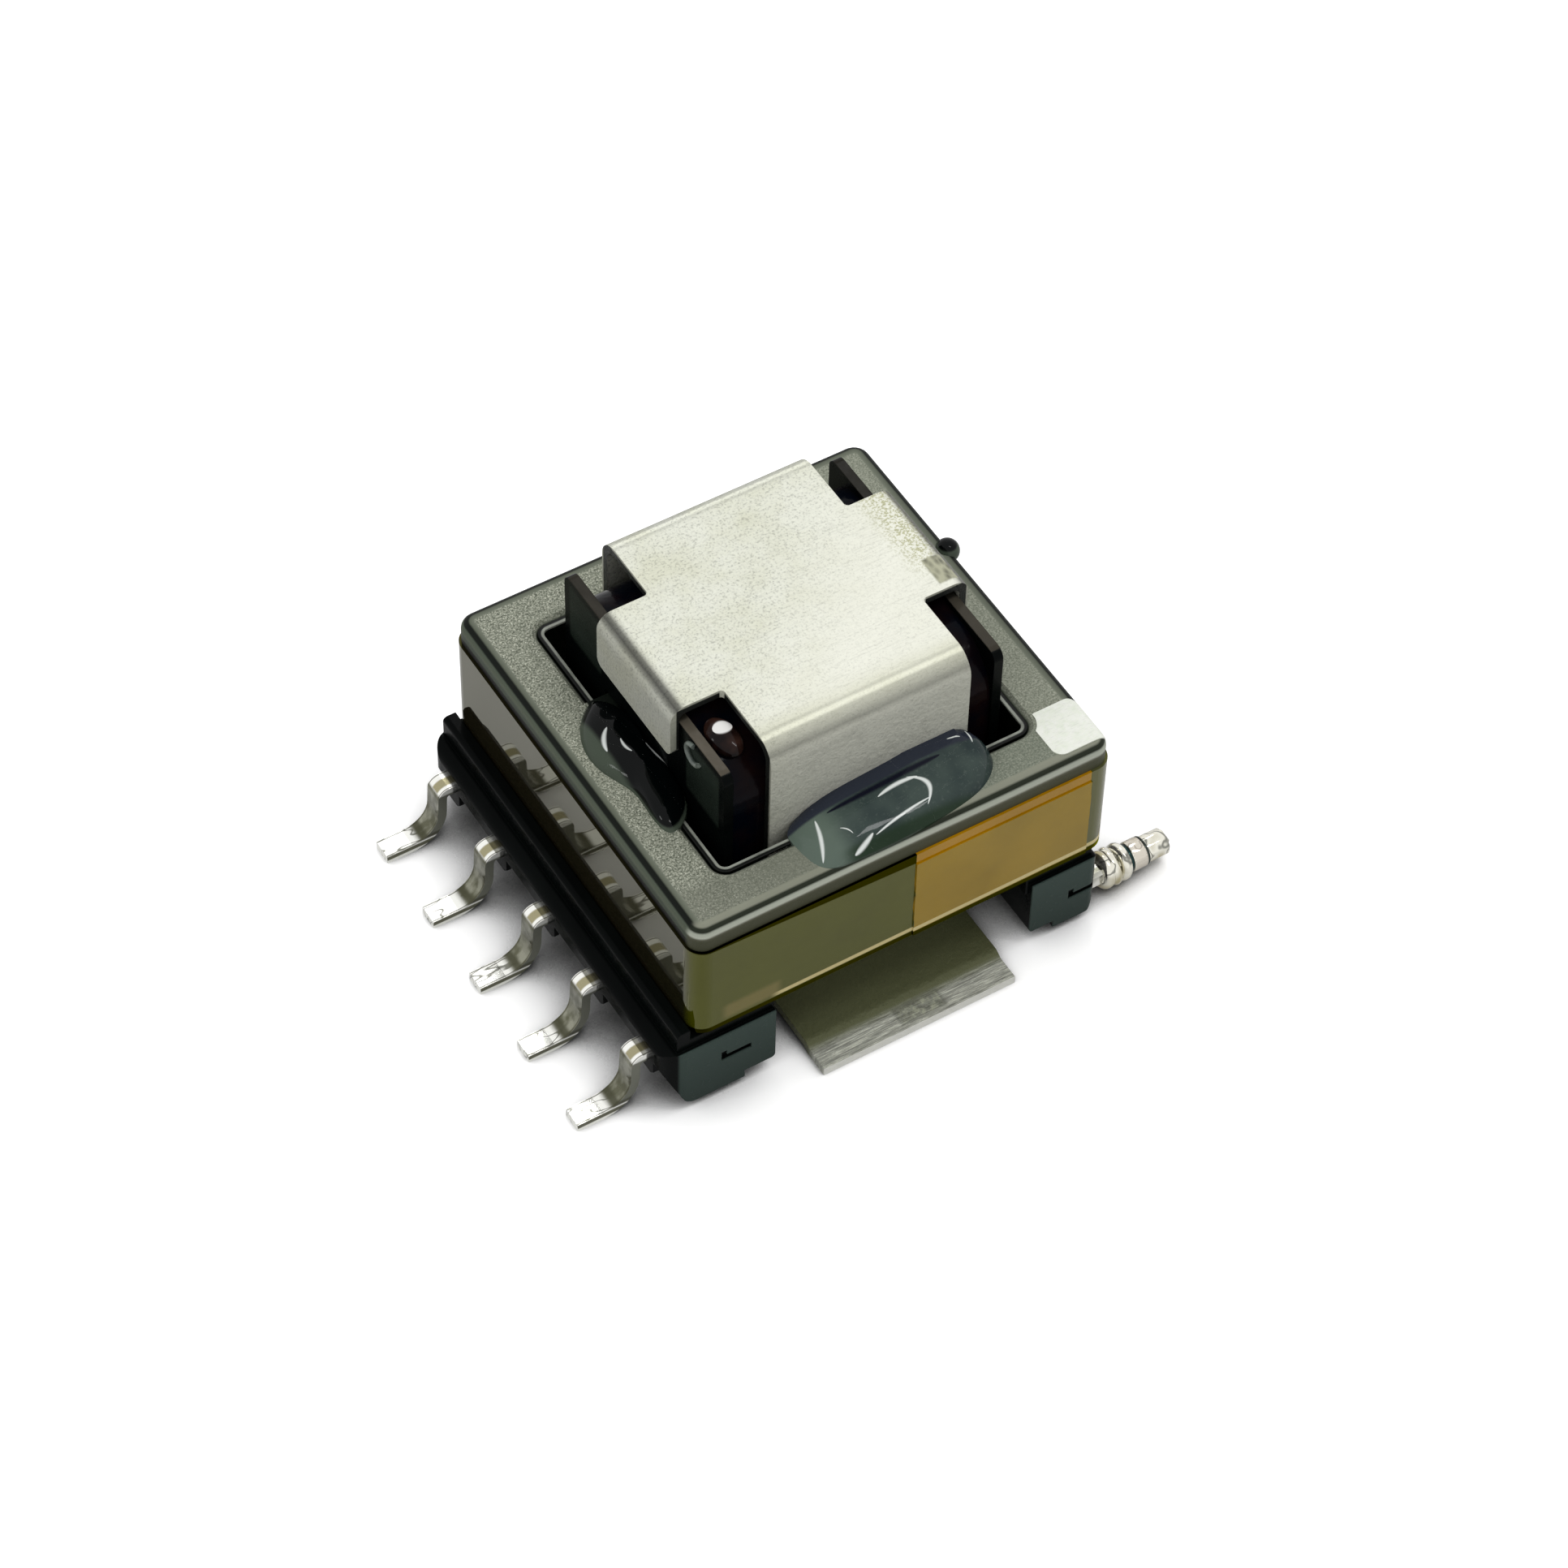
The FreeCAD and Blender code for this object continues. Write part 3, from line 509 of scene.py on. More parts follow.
def strapMaterial():
    material, tree, shader = newMaterial("matteTinnedCopper")
    place = millimetres(tree)
    x, y, z = axes(tree, place)[:3]
    centred = maths(tree, "SUBTRACT", x, strapSet["middle"])
    acrossX = maths(tree, "ABSOLUTE", centred)
    depth = maths(tree, "ABSOLUTE", y)
    fine = noise(tree, place, 15.0, 3.0, 0.7)
    broad = noise(tree, place, 0.7, 3.0)
    colour = ramp(tree, broad, [(0.32, strapSet["dull"]), (0.6, strapSet["tin"])])
    # painted light: brighter and less pitted tin towards the front right
    lit = band(tree, maths(tree, "SUBTRACT", x, y), 1.0, far, 2.4)
    colour = mix(tree, times(tree, lit, 0.85), colour, strapSet["tinBright"])
    pits = ramp(tree, fine, [(0.36, 0.68), (0.47, 0.98), (0.7, 1.04)])
    pitted = maths(tree, "MULTIPLY_ADD", lit, -0.6, 1)
    colour = mix(tree, pitted, colour, tinted(tree, colour, pits))
    dirty = times(tree, band(tree, x, 3.35, far, 0.35), band(tree, y, -0.9, far, 0.6))
    dirty = times(tree, dirty, ramp(tree, fine, [(0.45, 0.85), (0.52, 0.0)]))
    colour = mix(tree, dirty, colour, strapSet["yellow"])
    scratch = noise(tree, stretched(tree, place, (0.35, 5.5, 0.35)), 3.2, 3.0, 0.75)
    scratches = ramp(tree, scratch, [(0.36, 0.9), (0.46, 1.0), (0.68, 1.0), (0.74, 0.93)])
    colour = tinted(tree, colour, scratches)
    # yellowed towards the folds, with a painted highlight and painted shade across each fold
    frontSide = band(tree, y, -far, -3.2, 0.4)
    yellow = times(tree, frontSide, band(tree, depth, 3.05, 4.0, 0.35))
    yellow = times(tree, yellow, times(tree, broad, 0.55))
    colour = mix(tree, yellow, colour, strapSet["yellow"])
    upright = band(tree, z, 0.6, strapSet["top"] - 0.62, 0.05)
    frontShade = foldShade(tree, depth, strapSet["frontFold"], strapSet["frontStops"])
    earShade = foldShade(tree, acrossX, strapSet["earFold"], strapSet["earStops"])
    inBand = band(tree, acrossX, -1, strapSet["halfWidth"] + 0.03, 0.01)
    high = band(tree, z, 6, far, 0.1)
    colour = mix(tree, times(tree, inBand, high), colour, tinted(tree, colour, frontShade))
    colour = mix(tree, high, colour, tinted(tree, colour, earShade))
    # painted light: the upright walls of the band a little lighter
    colour = mix(tree, times(tree, upright, inBand), colour, tinted(tree, colour, (1.08, 1.08, 1.08)))
    across, out = strapSet["patch"]
    patch = times(tree, band(tree, x, *across, 0.04), band(tree, y, *out, 0.04))
    patch = times(tree, patch, band(tree, z, strapSet["top"] - 0.1, far, 0.02))
    lumps = cells(tree, stretched(tree, place, (1, 0.5, 1)), 7.0)
    rough = ramp(tree, lumps, [(0.1, 0.35), (0.7, 1.0)])
    colour = mix(tree, patch, colour, tinted(tree, strapSet["patchTone"], rough))
    # the sheet's cut edges are painted dark as shade, with a painted highlight line along the outer skin
    half, earSide = strapSet["halfWidth"], strapSet["earSide"]
    edgeShade = band(tree, acrossX, half - 0.004, half + 0.004, 0.001)
    edgeShade = times(tree, edgeShade, band(tree, depth, earSide + 0.02, far, 0.01))
    earEnd = band(tree, depth, earSide - 0.004, earSide + 0.004, 0.001)
    earEnd = times(tree, earEnd, band(tree, acrossX, half + 0.02, far, 0.01))
    topSkin = band(tree, z, strapSet["top"] - 0.07, far, 0.02)
    skin = maths(tree, "MAXIMUM", topSkin, band(tree, depth, 4.04, far, 0.02))
    skin = maths(tree, "MAXIMUM", skin, band(tree, acrossX, 4.22, far, 0.02))
    edge = times(tree, maths(tree, "MAXIMUM", edgeShade, earEnd), band(tree, z, 0.6, far, 0.05))
    colour = mix(tree, edge, colour, mix(tree, skin, strapSet["edgeShade"], strapSet["edgeSkinHighlight"]))
    low = band(tree, z, -1, 0.6, 0.05)
    tree.links.new(mix(tree, low, colour, strapFoot(tree, place, x, y)), shader.inputs["Base Color"])
    shader.inputs["Metallic"].default_value = 0.12
    shader.inputs["Specular IOR Level"].default_value = 0.2
    smooth, matte = strapSet["roughness"]
    tree.links.new(ramp(tree, broad, [(0.3, matte), (0.7, smooth)]), shader.inputs["Roughness"])
    rounded = addNode(tree, "ShaderNodeBevel", samples=4)
    rounded.inputs["Radius"].default_value = strapSet["edgeRounding"] * mm
    height = maths(tree, "ADD", fine, times(tree, noise(tree, place, 6.0, 2.0), 1.2))
    bump(tree, shader, height, 0.022, rounded.outputs[0])
    return material


dress(["copper_strap"], strapMaterial())


# leads and posts
leadSet = {
    "bright": (0.95, 0.95, 0.9),
    "neck": (0.12, 0.12, 0.08),
    "neckPale": (0.28, 0.28, 0.22),
    "side": (0.17, 0.175, 0.14),
    "band": (0.36, 0.33, 0.2),
    "line": (0.06, 0.06, 0.035),
    "pitch": 2.5,
    "foot": 0.3,                         # heights of the foot's top and of the shoulder
    "shoulder": 1.72,
    "dullBand": (-0.16, 0.1),            # places across one lead
    "rimLine": (0.252, 0.283),
    "roughness": 0.16,
}


def leadMaterial():
    material, tree, shader = newMaterial("brightTinnedLead")
    place = millimetres(tree)
    x, y, z = axes(tree, place)[:3]
    facing = addNode(tree, "ShaderNodeTexCoord")
    up = maths(tree, "ABSOLUTE", axes(tree, facing.outputs["Normal"])[2])
    sideways = maths(tree, "ABSOLUTE", axes(tree, facing.outputs["Normal"])[1])
    sideways = band(tree, sideways, 0.7, 2, 0.1)
    # place across one lead
    turns = maths(tree, "ROUND", maths(tree, "DIVIDE", y, leadSet["pitch"]))
    across = maths(tree, "SUBTRACT", y, times(tree, turns, leadSet["pitch"]))
    smear = noise(tree, stretched(tree, place, (0.45, 2.0, 0.8)), 1.7, 1.0, 0.4)
    blotch = noise(tree, stretched(tree, place, (1, 1.6, 1)), 2.2, 2.0)
    foot = band(tree, z, -1, leadSet["foot"], 0.03)
    shoulder = band(tree, z, leadSet["shoulder"], far, 0.04)
    # the neck and the sideways faces are painted dark and mottled, as painted shade and reflection
    neck = ramp(tree, blotch, [(0.4, leadSet["neck"]), (0.62, leadSet["neckPale"])])
    colour = mix(tree, sideways, neck, leadSet["side"])
    # foot: a painted highlight over its top with a few thin lines, painted shade on its sides, and a
    # painted shade line where it turns up
    lines = ramp(tree, smear, [(0.47, 0.0), (0.485, 0.8), (0.5, 0.8), (0.515, 0.0)])
    footTop = mix(tree, lines, leadSet["bright"], leadSet["line"])
    footSide = mix(tree, band(tree, z, 0.1, 0.24, 0.02), leadSet["bright"], leadSet["neck"])
    colour = mix(tree, foot, colour, mix(tree, sideways, footTop, footSide))
    bend = times(tree, band(tree, z, leadSet["foot"], leadSet["foot"] + 0.12, 0.04), 0.85)
    colour = mix(tree, bend, colour, leadSet["line"])
    # shoulder: painted bright as highlight, with a duller band between two bright ones on its faces
    # turned up
    dull = times(tree, band(tree, across, *leadSet["dullBand"], 0.03), band(tree, up, 0.5, 2, 0.1))
    top = mix(tree, dull, leadSet["bright"], leadSet["band"])
    colour = mix(tree, shoulder, colour, top)
    # a painted shade line along both edges of each lead's faces turned up
    rim = times(tree, band(tree, maths(tree, "ABSOLUTE", across), *leadSet["rimLine"], 0.008), 0.8)
    rim = times(tree, rim, band(tree, up, 0.25, 2, 0.1))
    colour = mix(tree, rim, colour, leadSet["line"])
    # the posts are plain
    post = band(tree, x, 0, far, 1)
    plain = ramp(tree, smear, [(0.4, leadSet["neckPale"]), (0.55, leadSet["bright"])])
    tree.links.new(mix(tree, post, colour, plain), shader.inputs["Base Color"])
    shader.inputs["Roughness"].default_value = leadSet["roughness"]
    shader.inputs["Metallic"].default_value = 0.9
    bump(tree, shader, noise(tree, place, 1.3, 1.0), 0.014)
    return material


leadNames = ["lead_" + str(count) for count in range(1, 6)]
postNames = ["post_" + str(count) for count in range(1, 5)]
dress(leadNames + postNames, leadMaterial())


# small helpers for modelled pieces
def deselectAll():
    if bpy.context.mode != "OBJECT":
        bpy.ops.object.mode_set(mode="OBJECT")
    bpy.ops.object.select_all(action="DESELECT")


def applied(piece, name):
    # the piece's place goes into its mesh
    deselectAll()
    piece.select_set(True)
    bpy.context.view_layer.objects.active = piece
    bpy.ops.object.transform_apply(location=True, rotation=True, scale=True)
    piece.name = name
    piece.data.name = name
    return piece


def joined(pieces, name):
    deselectAll()
    for piece in pieces:
        piece.select_set(True)
    bpy.context.view_layer.objects.active = pieces[0]
    bpy.ops.object.join()
    return applied(bpy.context.object, name)


def smooth(piece, angle=40):
    deselectAll()
    piece.select_set(True)
    bpy.context.view_layer.objects.active = piece
    bpy.ops.object.shade_smooth_by_angle(angle=math.radians(angle))


# wire wrapped on each post and soldered: fat turns by the rail, a groove painted dark as shade, then a
# collar
wrapSet = {
    # place along X, radius of the turn, radius of the wire, lean in degrees
    "turns": [(6.66, 0.36, 0.17, 7), (6.92, 0.37, 0.17, -9), (7.2, 0.36, 0.165, 6)],
    "groove": (7.42, 0.33, 0.07),
    "collar": (7.68, 0.42, 0.44),            # middle, radius, length
    "ring": (7.92, 0.37, 0.045),
    "sleeve": (8.26, 0.385, 0.7),
    "centre": (-5.4, 0.58),
    "spacing": 3.6,
    "bright": (0.86, 0.84, 0.74),
    "flux": (0.45, 0.4, 0.24),
    "line": (0.05, 0.055, 0.045),
    "collarSpan": (7.5, 7.9),                # painted places along X
    "grooveSpan": (7.36, 7.47),
    "ringSpan": (7.89, 7.96),
    "collarTone": (0.62, 0.55, 0.47),
    "grooveShade": (0.01, 0.035, 0.035),
    "ringTone": (0.03, 0.04, 0.035),
}


def solderMaterial():
    material, tree, shader = newMaterial("solderOverWire")
    place = millimetres(tree)
    x, z = axes(tree, place)[0], axes(tree, place)[2]
    smear = noise(tree, stretched(tree, place, (1.0, 0.8, 0.8)), 1.5, 1.5)
    low = band(tree, z, -1, 0.42, 0.15)
    colour = ramp(tree, smear, [(0.34, wrapSet["flux"]), (0.48, wrapSet["bright"])])
    colour = mix(tree, times(tree, low, 0.45), colour, wrapSet["flux"])
    lines = ramp(tree, smear, [(0.5, 0.0), (0.515, 1.0), (0.525, 1.0), (0.54, 0.0)])
    colour = mix(tree, times(tree, lines, 0.75), colour, wrapSet["line"])
    collar = band(tree, x, *wrapSet["collarSpan"], 0.02)
    colour = mix(tree, times(tree, collar, 0.6), colour, wrapSet["collarTone"])
    # painted shade in the groove
    groove = band(tree, x, *wrapSet["grooveSpan"], 0.015)
    colour = mix(tree, groove, colour, wrapSet["grooveShade"])
    ring = band(tree, x, *wrapSet["ringSpan"], 0.01)
    colour = mix(tree, ring, colour, wrapSet["ringTone"])
    tree.links.new(colour, shader.inputs["Base Color"])
    shader.inputs["Metallic"].default_value = 0.85
    shader.inputs["Roughness"].default_value = 0.14
    bump(tree, shader, noise(tree, place, 1.8, 1.0), 0.03)
    return material


def torusAt(x, y, z, radius, wire, lean):
    deselectAll()
    bpy.ops.mesh.primitive_torus_add(
        location=(x * mm, y * mm, z * mm),
        rotation=(0, math.radians(90 + lean), math.radians(lean / 2)),
        major_segments=48, minor_segments=16,
        major_radius=radius * mm, minor_radius=wire * mm)
    return bpy.context.object


def sleeveAt(x, y, z, radius, length, sides, bevel):
    deselectAll()
    bpy.ops.mesh.primitive_cylinder_add(
        vertices=sides, radius=radius * mm, depth=length * mm,
        location=(x * mm, y * mm, z * mm), rotation=(0, math.radians(90), 0))
    piece = bpy.context.object
    bpy.ops.object.mode_set(mode="EDIT")
    bpy.ops.mesh.select_all(action="SELECT")
    bpy.ops.mesh.bevel(offset=bevel * mm, segments=3, affect="EDGES")
    bpy.ops.object.mode_set(mode="OBJECT")
    return piece


def wireWraps():
    y, z = wrapSet["centre"]
    parts = [torusAt(x, y, z, radius, wire, lean) for x, radius, wire, lean in wrapSet["turns"]]
    for x, radius, wire in (wrapSet["groove"], wrapSet["ring"]):
        parts.append(torusAt(x, y, z, radius, wire, 0))
    x, radius, length = wrapSet["collar"]
    parts.append(sleeveAt(x, y, z, radius, length, 32, 0.05))
    x, radius, length = wrapSet["sleeve"]
    parts.append(sleeveAt(x, y, z, radius, length, 9, 0.06))
    first = joined(parts, "solderedWrap4")
    smooth(first, 35)
    material = solderMaterial()
    first.data.materials.clear()
    first.data.materials.append(material)
    wraps = [first]
    for count in range(3):
        copy = first.copy()
        copy.data = first.data.copy()
        copy.name = "solderedWrap" + str(3 - count)
        bpy.context.scene.collection.objects.link(copy)
        copy.location = (0, (count + 1) * wrapSet["spacing"] * mm, 0)
        wraps.append(applied(copy, copy.name))
    for wrap in wraps:
        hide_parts("wire_wrap_" + wrap.name[-1])
        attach(wrap, "root")


wireWraps()
print("wire wraps modelled")


# windings
windingSet = {
    "varnish": (0.012, 0.004, 0.003),
    "dark": (0.001, 0.002, 0.005),
    "copper": (0.5, 0.2, 0.08),
    "copperDark": (0.3, 0.09, 0.03),
    "wire": 0.25,            # thickness of a turn
}


def varnishMaterial():
    material, tree, shader = newMaterial("varnishedWindingTape")
    place = millimetres(tree)
    cloud = noise(tree, place, 0.9, 3.0)
    colour = ramp(tree, cloud, [(0.4, windingSet["dark"]), (0.75, windingSet["varnish"])])
    tree.links.new(colour, shader.inputs["Base Color"])
    shader.inputs["Roughness"].default_value = 0.15
    shader.inputs["Specular IOR Level"].default_value = 0.05
    bump(tree, shader, cloud, 0.05)
    return material


def wireMaterial():
    material, tree, shader = newMaterial("enamelledWire")
    place = millimetres(tree)
    turns = addNode(tree, "ShaderNodeTexWave", Scale=0.5 / windingSet["wire"], bands_direction="X")
    tree.links.new(place, turns.inputs["Vector"])
    cloud = noise(tree, place, 2.0, 3.0)
    colour = ramp(tree, cloud, [(0.3, windingSet["copperDark"]), (0.7, windingSet["copper"])])
    tree.links.new(colour, shader.inputs["Base Color"])
    shader.inputs["Metallic"].default_value = 0.8
    shader.inputs["Roughness"].default_value = 0.3
    bump(tree, shader, turns.outputs["Fac"], 0.08)
    return material


dress(["winding_cover_tape", "insulation_tape"], varnishMaterial())
dress(["primary_winding", "auxiliary_winding"], wireMaterial())


# white mark, printed thinly over the grain
markSet = {
    "ink": (0.98, 1.0, 0.92),
    "inkThin": (0.9, 0.95, 0.82),
    "roughness": 0.6,
}


def markMaterial():
    material, tree, shader = newMaterial("whiteMarkInk")
    place = millimetres(tree)
    mottle = noise(tree, place, 5.0, 3.0)
    fibres = noise(tree, stretched(tree, place, (1, 4, 1)), 6.0, 3.0, 0.7)
    colour = ramp(tree, mottle, [(0.3, markSet["inkThin"]), (0.6, markSet["ink"])])
    colour = tinted(tree, colour, ramp(tree, fibres, [(0.3, 0.9), (0.5, 1.0)]))
    tree.links.new(colour, shader.inputs["Base Color"])
    shader.inputs["Roughness"].default_value = markSet["roughness"]
    shader.inputs["Specular IOR Level"].default_value = 0.2
    bump(tree, shader, mottle, 0.015)
    return material


dress(["polarity_mark"], markMaterial())


# beads of adhesive
glueSet = {
    "body": (0.026, 0.042, 0.042),
    "pale": (0.06, 0.085, 0.075),
    "milky": (0.15, 0.2, 0.16),
    "slate": (0.028, 0.034, 0.05),
    "navy": (0.002, 0.003, 0.012),
    "green": (0.012, 0.032, 0.01),
    "speck": (0.12, 0.15, 0.13),
    "black": (0.001, 0.002, 0.002),
    "rim": (0.07, 0.09, 0.065),
    "paintedHighlight": (0.86, 0.9, 0.87),
    "roughness": 0.04,
    # painted highlight streaks on the beads: start, end, half width and bow
    "highlightStreaks": [
        ((-1.84, -4.6), (-2.24, -5.66), 0.06, 0.05), ((-1.46, -5.16), (-1.26, -5.46), 0.02, 0.04),
        ((-0.2, -4.9), (0.98, -4.86), 0.065, 0.07), ((0.72, -4.76), (0.84, -5.6), 0.075, 0.34),
        ((0.98, -5.47), (-0.75, -5.72), 0.035, -0.03), ((-0.8, -5.66), (-1.45, -5.88), 0.06, 0.02),
        ((2.2, -4.3), (2.56, -4.36), 0.025, 0.0), ((2.8, -4.2), (2.78, -4.6), 0.03, 0.03),
        ((-4.77, 0.58), (-5.14, -0.08), 0.07, -0.08), ((-4.67, 0.07), (-4.62, -0.42), 0.04, -0.05),
        ((-4.2, -0.38), (-3.97, -1.36), 0.035, -0.04),
    ],
    "shadow": ((-1.5, -4.6), (1.8, -4.6), 0.11, -0.02),
}


def glueMaterial():
    material, tree, shader = newMaterial("darkEpoxy")
    place = millimetres(tree)
    x, y, z = axes(tree, place)[:3]
    cloud = noise(tree, place, 0.7, 2.0, 0.5)
    specks = noise(tree, place, 9.0, 3.0, 0.7)
    front = ramp(tree, cloud, [(0.4, glueSet["body"]), (0.62, glueSet["pale"])])
    thin = band(tree, x, -far, -1.45, 0.35)
    front = mix(tree, times(tree, thin, 0.75), front, glueSet["milky"])
    front = mix(tree, ramp(tree, specks, [(0.56, 0.0), (0.72, 0.4)]), front, glueSet["speck"])
    low = times(tree, band(tree, y, -far, -5.72, 0.1), band(tree, x, -1.6, far, 0.3))
    front = mix(tree, times(tree, low, 0.8), front, glueSet["green"])
    front = mix(tree, band(tree, y, -4.5, 0, 0.05), front, glueSet["slate"])
    front = mix(tree, crescent(tree, x, y, *glueSet["shadow"]), front, glueSet["navy"])
    # the left bead is black inside a paler rim
    rim = maths(tree, "MAXIMUM", band(tree, x, -far, -5.12, 0.08), band(tree, z, 0, 6.93, 0.03))
    left = mix(tree, rim, glueSet["black"], glueSet["rim"])
    colour = mix(tree, band(tree, y, -3.6, far, 0.1), front, left)
    # painted highlights
    for start, end, width, bow in glueSet["highlightStreaks"]:
        colour = mix(tree, crescent(tree, x, y, start, end, width, bow), colour, glueSet["paintedHighlight"])
    tree.links.new(colour, shader.inputs["Base Color"])
    shader.inputs["Roughness"].default_value = glueSet["roughness"]
    shader.inputs["Specular IOR Level"].default_value = 0.12
    bump(tree, shader, noise(tree, place, 0.8, 0.0), 0.1)
    return material


dress(["glue_left", "glue_front", "glue_right"], glueMaterial())
print("finishes made")


# thin raised edge round the core's window, a painted highlight line inside a band painted dark as shade
lipSet = {
    "half": (4.6, 4.65),
    "corner": 0.36,
    "width": 0.17,
    "line": 0.08,            # painted highlight part of that width, at the inner side
    "level": (6.72, 6.8),
    "bright": (0.34, 0.36, 0.31),
    "dark": (0.002, 0.003, 0.002),
}


def lipMaterial():
    material, tree, shader = newMaterial("windowLip")
    place = millimetres(tree)
    x, y = axes(tree, place)[:2]
    inside = cornerDistance(tree, x, y, lipSet["half"], lipSet["corner"])
    line = band(tree, inside, -1, lipSet["line"] - lipSet["width"], 0.02)
    # noise varies the painted highlight's brightness
    worn = ramp(tree, noise(tree, place, 2.0, 3.0), [(0.3, 0.6), (0.6, 1.1)])
    bright = tinted(tree, lipSet["bright"], worn)
    tree.links.new(mix(tree, line, lipSet["dark"], bright), shader.inputs["Base Color"])
    shader.inputs["Roughness"].default_value = 0.35
    shader.inputs["Specular IOR Level"].default_value = 0.15
    return material


def windowLip():
    low, high = lipSet["level"]
    deselectAll()
    bpy.ops.mesh.primitive_plane_add(size=1, location=(0, 0, low * mm))
    lip = bpy.context.object
    lip.scale = (2 * lipSet["half"][0] * mm, 2 * lipSet["half"][1] * mm, 1)
    applied(lip, "windowLip")
    bpy.ops.object.mode_set(mode="EDIT")
    bpy.ops.mesh.select_all(action="SELECT")
    bpy.ops.mesh.bevel(offset=lipSet["corner"] * mm, segments=8, affect="VERTICES")
    bpy.ops.mesh.select_all(action="SELECT")
    bpy.ops.mesh.inset(thickness=lipSet["width"] * mm)
    bpy.ops.mesh.delete(type="FACE")
    bpy.ops.mesh.select_all(action="SELECT")
    bpy.ops.mesh.extrude_region_move(TRANSFORM_OT_translate={"value": (0, 0, (high - low) * mm)})
    bpy.ops.mesh.select_all(action="SELECT")
    bpy.ops.mesh.normals_make_consistent(inside=False)
    bpy.ops.mesh.bevel(offset=0.02 * mm, segments=2, affect="EDGES")
    bpy.ops.object.mode_set(mode="OBJECT")
    smooth(lip, 35)
    lip.data.materials.append(lipMaterial())
    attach(lip, "root")


windowLip()


# varnish that ran over the front of the winding, with a painted highlight on it, and a pale bent end of
# wire beside it
notchSet = {
    "drop": (-3.3, -2.62, 9.24),
    "dropSize": (0.4, 0.62, 0.2),
    "turn": (12, -10, 8),
    "varnish": ((0.006, 0.003, 0.003), (0.045, 0.02, 0.014)),
    "paintedHighlight": ((-3.5, -2.42), (-3.0, -2.52), 0.24, 0.0),
    "paintedHighlightTone": (0.97, 0.96, 0.93),
    "hook": (-4.1, -2.5, 8.95),
    "hookRadius": 0.3,
    "hookWire": 0.07,
    "wire": ((0.08, 0.1, 0.09), (0.2, 0.23, 0.2)),
}


def varnishDropMaterial():
    material, tree, shader = newMaterial("clearVarnish")
    place = millimetres(tree)
    x, y = axes(tree, place)[:2]
    cloud = noise(tree, place, 1.6, 2.0)
    dark, brown = notchSet["varnish"]
    colour = ramp(tree, cloud, [(0.4, dark), (0.7, brown)])
    # painted highlight on the drop
    colour = mix(tree, crescent(tree, x, y, *notchSet["paintedHighlight"], 0.15), colour, notchSet["paintedHighlightTone"])
    tree.links.new(colour, shader.inputs["Base Color"])
    shader.inputs["Roughness"].default_value = 0.08
    shader.inputs["Specular IOR Level"].default_value = 0.12
    return material


def varnishDrop():
    deselectAll()
    bpy.ops.mesh.primitive_uv_sphere_add(
        segments=40, ring_count=24, radius=1, location=[value * mm for value in notchSet["drop"]],
        rotation=[math.radians(value) for value in notchSet["turn"]])
    drop = bpy.context.object
    drop.scale = [value * mm for value in notchSet["dropSize"]]
    applied(drop, "varnishDrop")
    bpy.ops.object.mode_set(mode="EDIT")
    bpy.ops.mesh.select_all(action="SELECT")
    bpy.ops.mesh.vertices_smooth(factor=0.5, repeat=3)
    bpy.ops.object.mode_set(mode="OBJECT")
    smooth(drop, 60)
    drop.data.materials.append(varnishDropMaterial())
    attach(drop, "root")


def wireEndMaterial():
    material, tree, shader = newMaterial("paleWire")
    place = millimetres(tree)
    dull, pale = notchSet["wire"]
    colour = ramp(tree, noise(tree, place, 3.0, 2.0), [(0.3, dull), (0.65, pale)])
    tree.links.new(colour, shader.inputs["Base Color"])
    shader.inputs["Roughness"].default_value = 0.3
    return material


def wireHook():
    # three quarters of a turn of thin wire, its gap towards the strap
    x, y, z = notchSet["hook"]
    deselectAll()
    bpy.ops.mesh.primitive_torus_add(
        location=(x * mm, y * mm, z * mm), rotation=(0, math.radians(90), 0),
        major_segments=40, minor_segments=10,
        major_radius=notchSet["hookRadius"] * mm, minor_radius=notchSet["hookWire"] * mm)
    hook = applied(bpy.context.object, "wireHook")
    bpy.ops.object.mode_set(mode="EDIT")
    mesh = bmesh.from_edit_mesh(hook.data)
    for face in mesh.faces:
        centre = face.calc_center_median() / mm
        face.select = centre.y < y - 0.02 and centre.z > z - 0.16
    bmesh.update_edit_mesh(hook.data)
    bpy.ops.mesh.delete(type="FACE")
    bpy.ops.mesh.select_all(action="DESELECT")
    bpy.ops.mesh.select_mode(type="EDGE")
    bpy.ops.mesh.select_non_manifold()
    bpy.ops.mesh.edge_face_add()
    bpy.ops.object.mode_set(mode="OBJECT")
    smooth(hook, 60)
    hook.data.materials.append(wireEndMaterial())
    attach(hook, "root")


varnishDrop()
wireHook()
print("small pieces modelled")


# floor and light
stageSet = {
    "floorSize": 600,
    "floorColour": (0.97, 0.97, 0.97),
    "floorBounce": (0.5, 0.5, 0.5),          # what soft bounce light gets from the floor
    "floorLift": 0.5,
    "floorLiftReach": 2.6,
    "horizon": 0.26,
    "zenith": 0.97,
    "lamps": [
        # name, place, width and length, power in watts
        ("backSpark", (135, 215, 310), (24, 90), 0.1),
        ("frontSpark", (110, -120, 370), (34, 110), 0.17),
        ("leftSpark", (-300, 60, 260), (36, 60), 0.07),
    ],
}


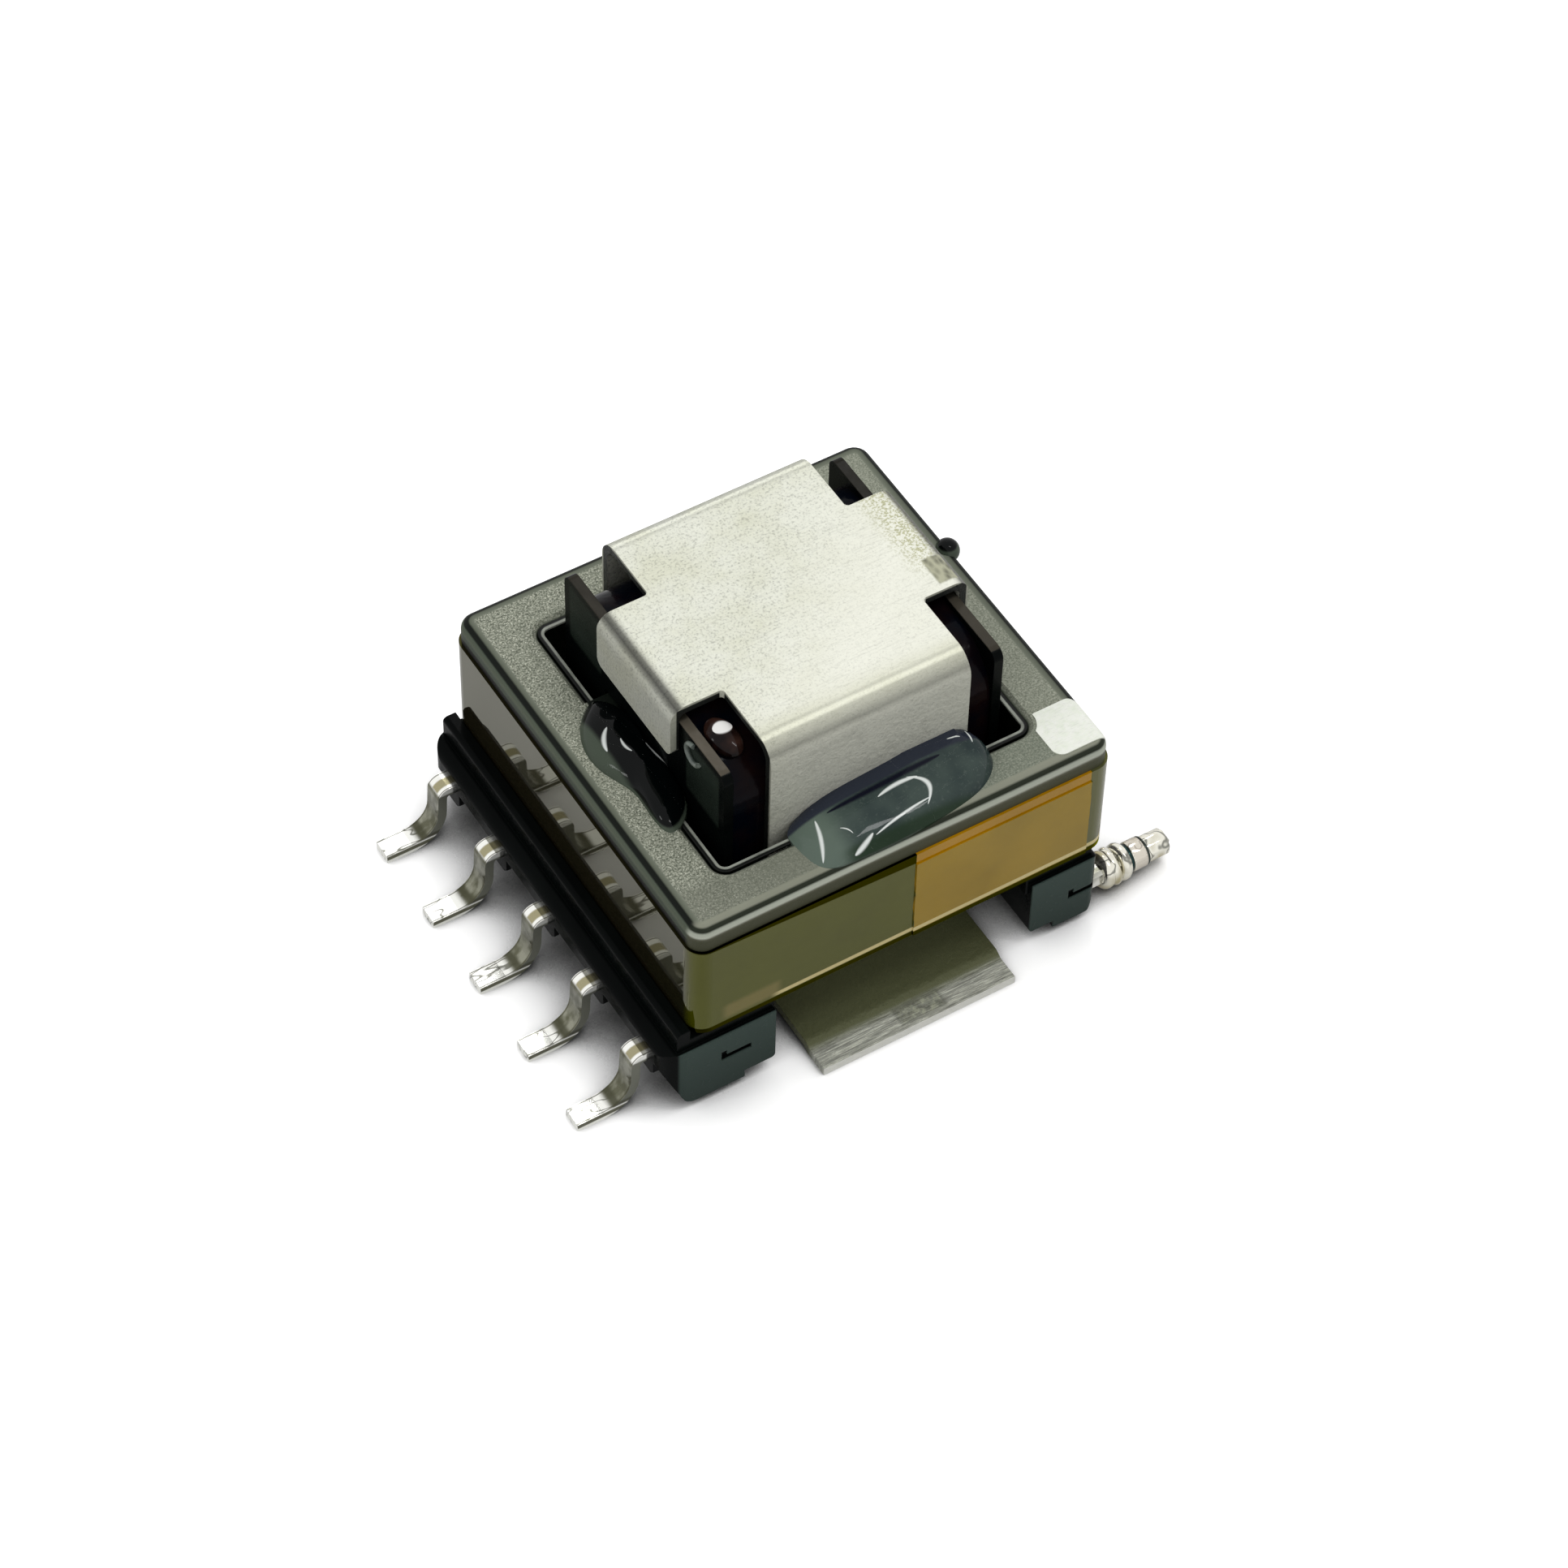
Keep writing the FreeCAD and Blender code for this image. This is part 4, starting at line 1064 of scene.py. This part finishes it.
def makeFloor():
    bpy.ops.mesh.primitive_plane_add(size=stageSet["floorSize"] * mm, location=(0, 0, 0))
    floor = bpy.context.object
    floor.name = "studioFloor"
    material, tree, shader = newMaterial("paleFloor")
    path = tree.nodes.new("ShaderNodeLightPath")
    colour = mix(tree, path.outputs["Is Diffuse Ray"], stageSet["floorColour"], stageSet["floorBounce"])
    shader.inputs["Roughness"].default_value = 0.9
    shader.inputs["Specular IOR Level"].default_value = 0.1
    # the backdrop is lifted to white where it is seen, but not in the contact shadows, and there its
    # seen colour is painted darker as shadow
    openness = addNode(tree, "ShaderNodeAmbientOcclusion", samples=8)
    openness.inputs["Distance"].default_value = stageSet["floorLiftReach"] * mm
    clear = ramp(tree, openness.outputs["AO"], [(0.35, 0.0), (0.9, 1.0)])
    paintedContactShadow = ramp(tree, openness.outputs["AO"], [(0.3, 0.15), (0.62, 1.0)])
    paintedContactShadow = mix(tree, path.outputs["Is Camera Ray"], (1, 1, 1), paintedContactShadow)
    tree.links.new(mix(tree, 1.0, colour, paintedContactShadow, "MULTIPLY"), shader.inputs["Base Color"])
    lift = times(tree, clear, stageSet["floorLift"])
    lift = times(tree, path.outputs["Is Camera Ray"], lift)
    shader.inputs["Emission Color"].default_value = (1, 1, 1, 1)
    tree.links.new(lift, shader.inputs["Emission Strength"])
    floor.data.materials.append(material)


def makeLight():
    # a white backdrop where it is seen, and for soft light a dome that is brighter overhead
    world = bpy.data.worlds.new("studioWorld")
    bpy.context.scene.world = world
    world.use_nodes = True
    tree = world.node_tree
    tree.nodes.clear()
    output = tree.nodes.new("ShaderNodeOutputWorld")
    direction = addNode(tree, "ShaderNodeTexCoord")
    height = axes(tree, direction.outputs["Generated"])[2]
    slope = stageSet["zenith"] - stageSet["horizon"]
    strength = maths(tree, "MULTIPLY_ADD", maths(tree, "MAXIMUM", height, 0), slope, stageSet["horizon"])
    soft = addNode(tree, "ShaderNodeBackground", Color=(1, 1, 1, 1))
    tree.links.new(strength, soft.inputs["Strength"])
    white = addNode(tree, "ShaderNodeBackground", Color=(1, 1, 1, 1), Strength=1.0)
    path = tree.nodes.new("ShaderNodeLightPath")
    seen = maths(tree, "MAXIMUM", path.outputs["Is Camera Ray"], path.outputs["Is Transmission Ray"])
    seen = maths(tree, "MAXIMUM", seen, path.outputs["Is Glossy Ray"])
    choose = tree.nodes.new("ShaderNodeMixShader")
    tree.links.new(seen, choose.inputs[0])
    tree.links.new(soft.outputs[0], choose.inputs[1])
    tree.links.new(white.outputs[0], choose.inputs[2])
    tree.links.new(choose.outputs[0], output.inputs[0])
    for name, place, size, power in stageSet["lamps"]:
        data = bpy.data.lights.new(name, "AREA")
        data.shape = "RECTANGLE"
        data.size, data.size_y = size[0] * mm, size[1] * mm
        data.energy = power
        lamp = bpy.data.objects.new(name, data)
        lamp.location = Vector(place) * mm
        lamp.rotation_euler = (-Vector(place)).to_track_quat("-Z", "Y").to_euler()
        bpy.context.scene.collection.objects.link(lamp)


makeFloor()
makeLight()
bpy.context.scene.view_settings.view_transform = "Standard"
print("stage and lamps ready")
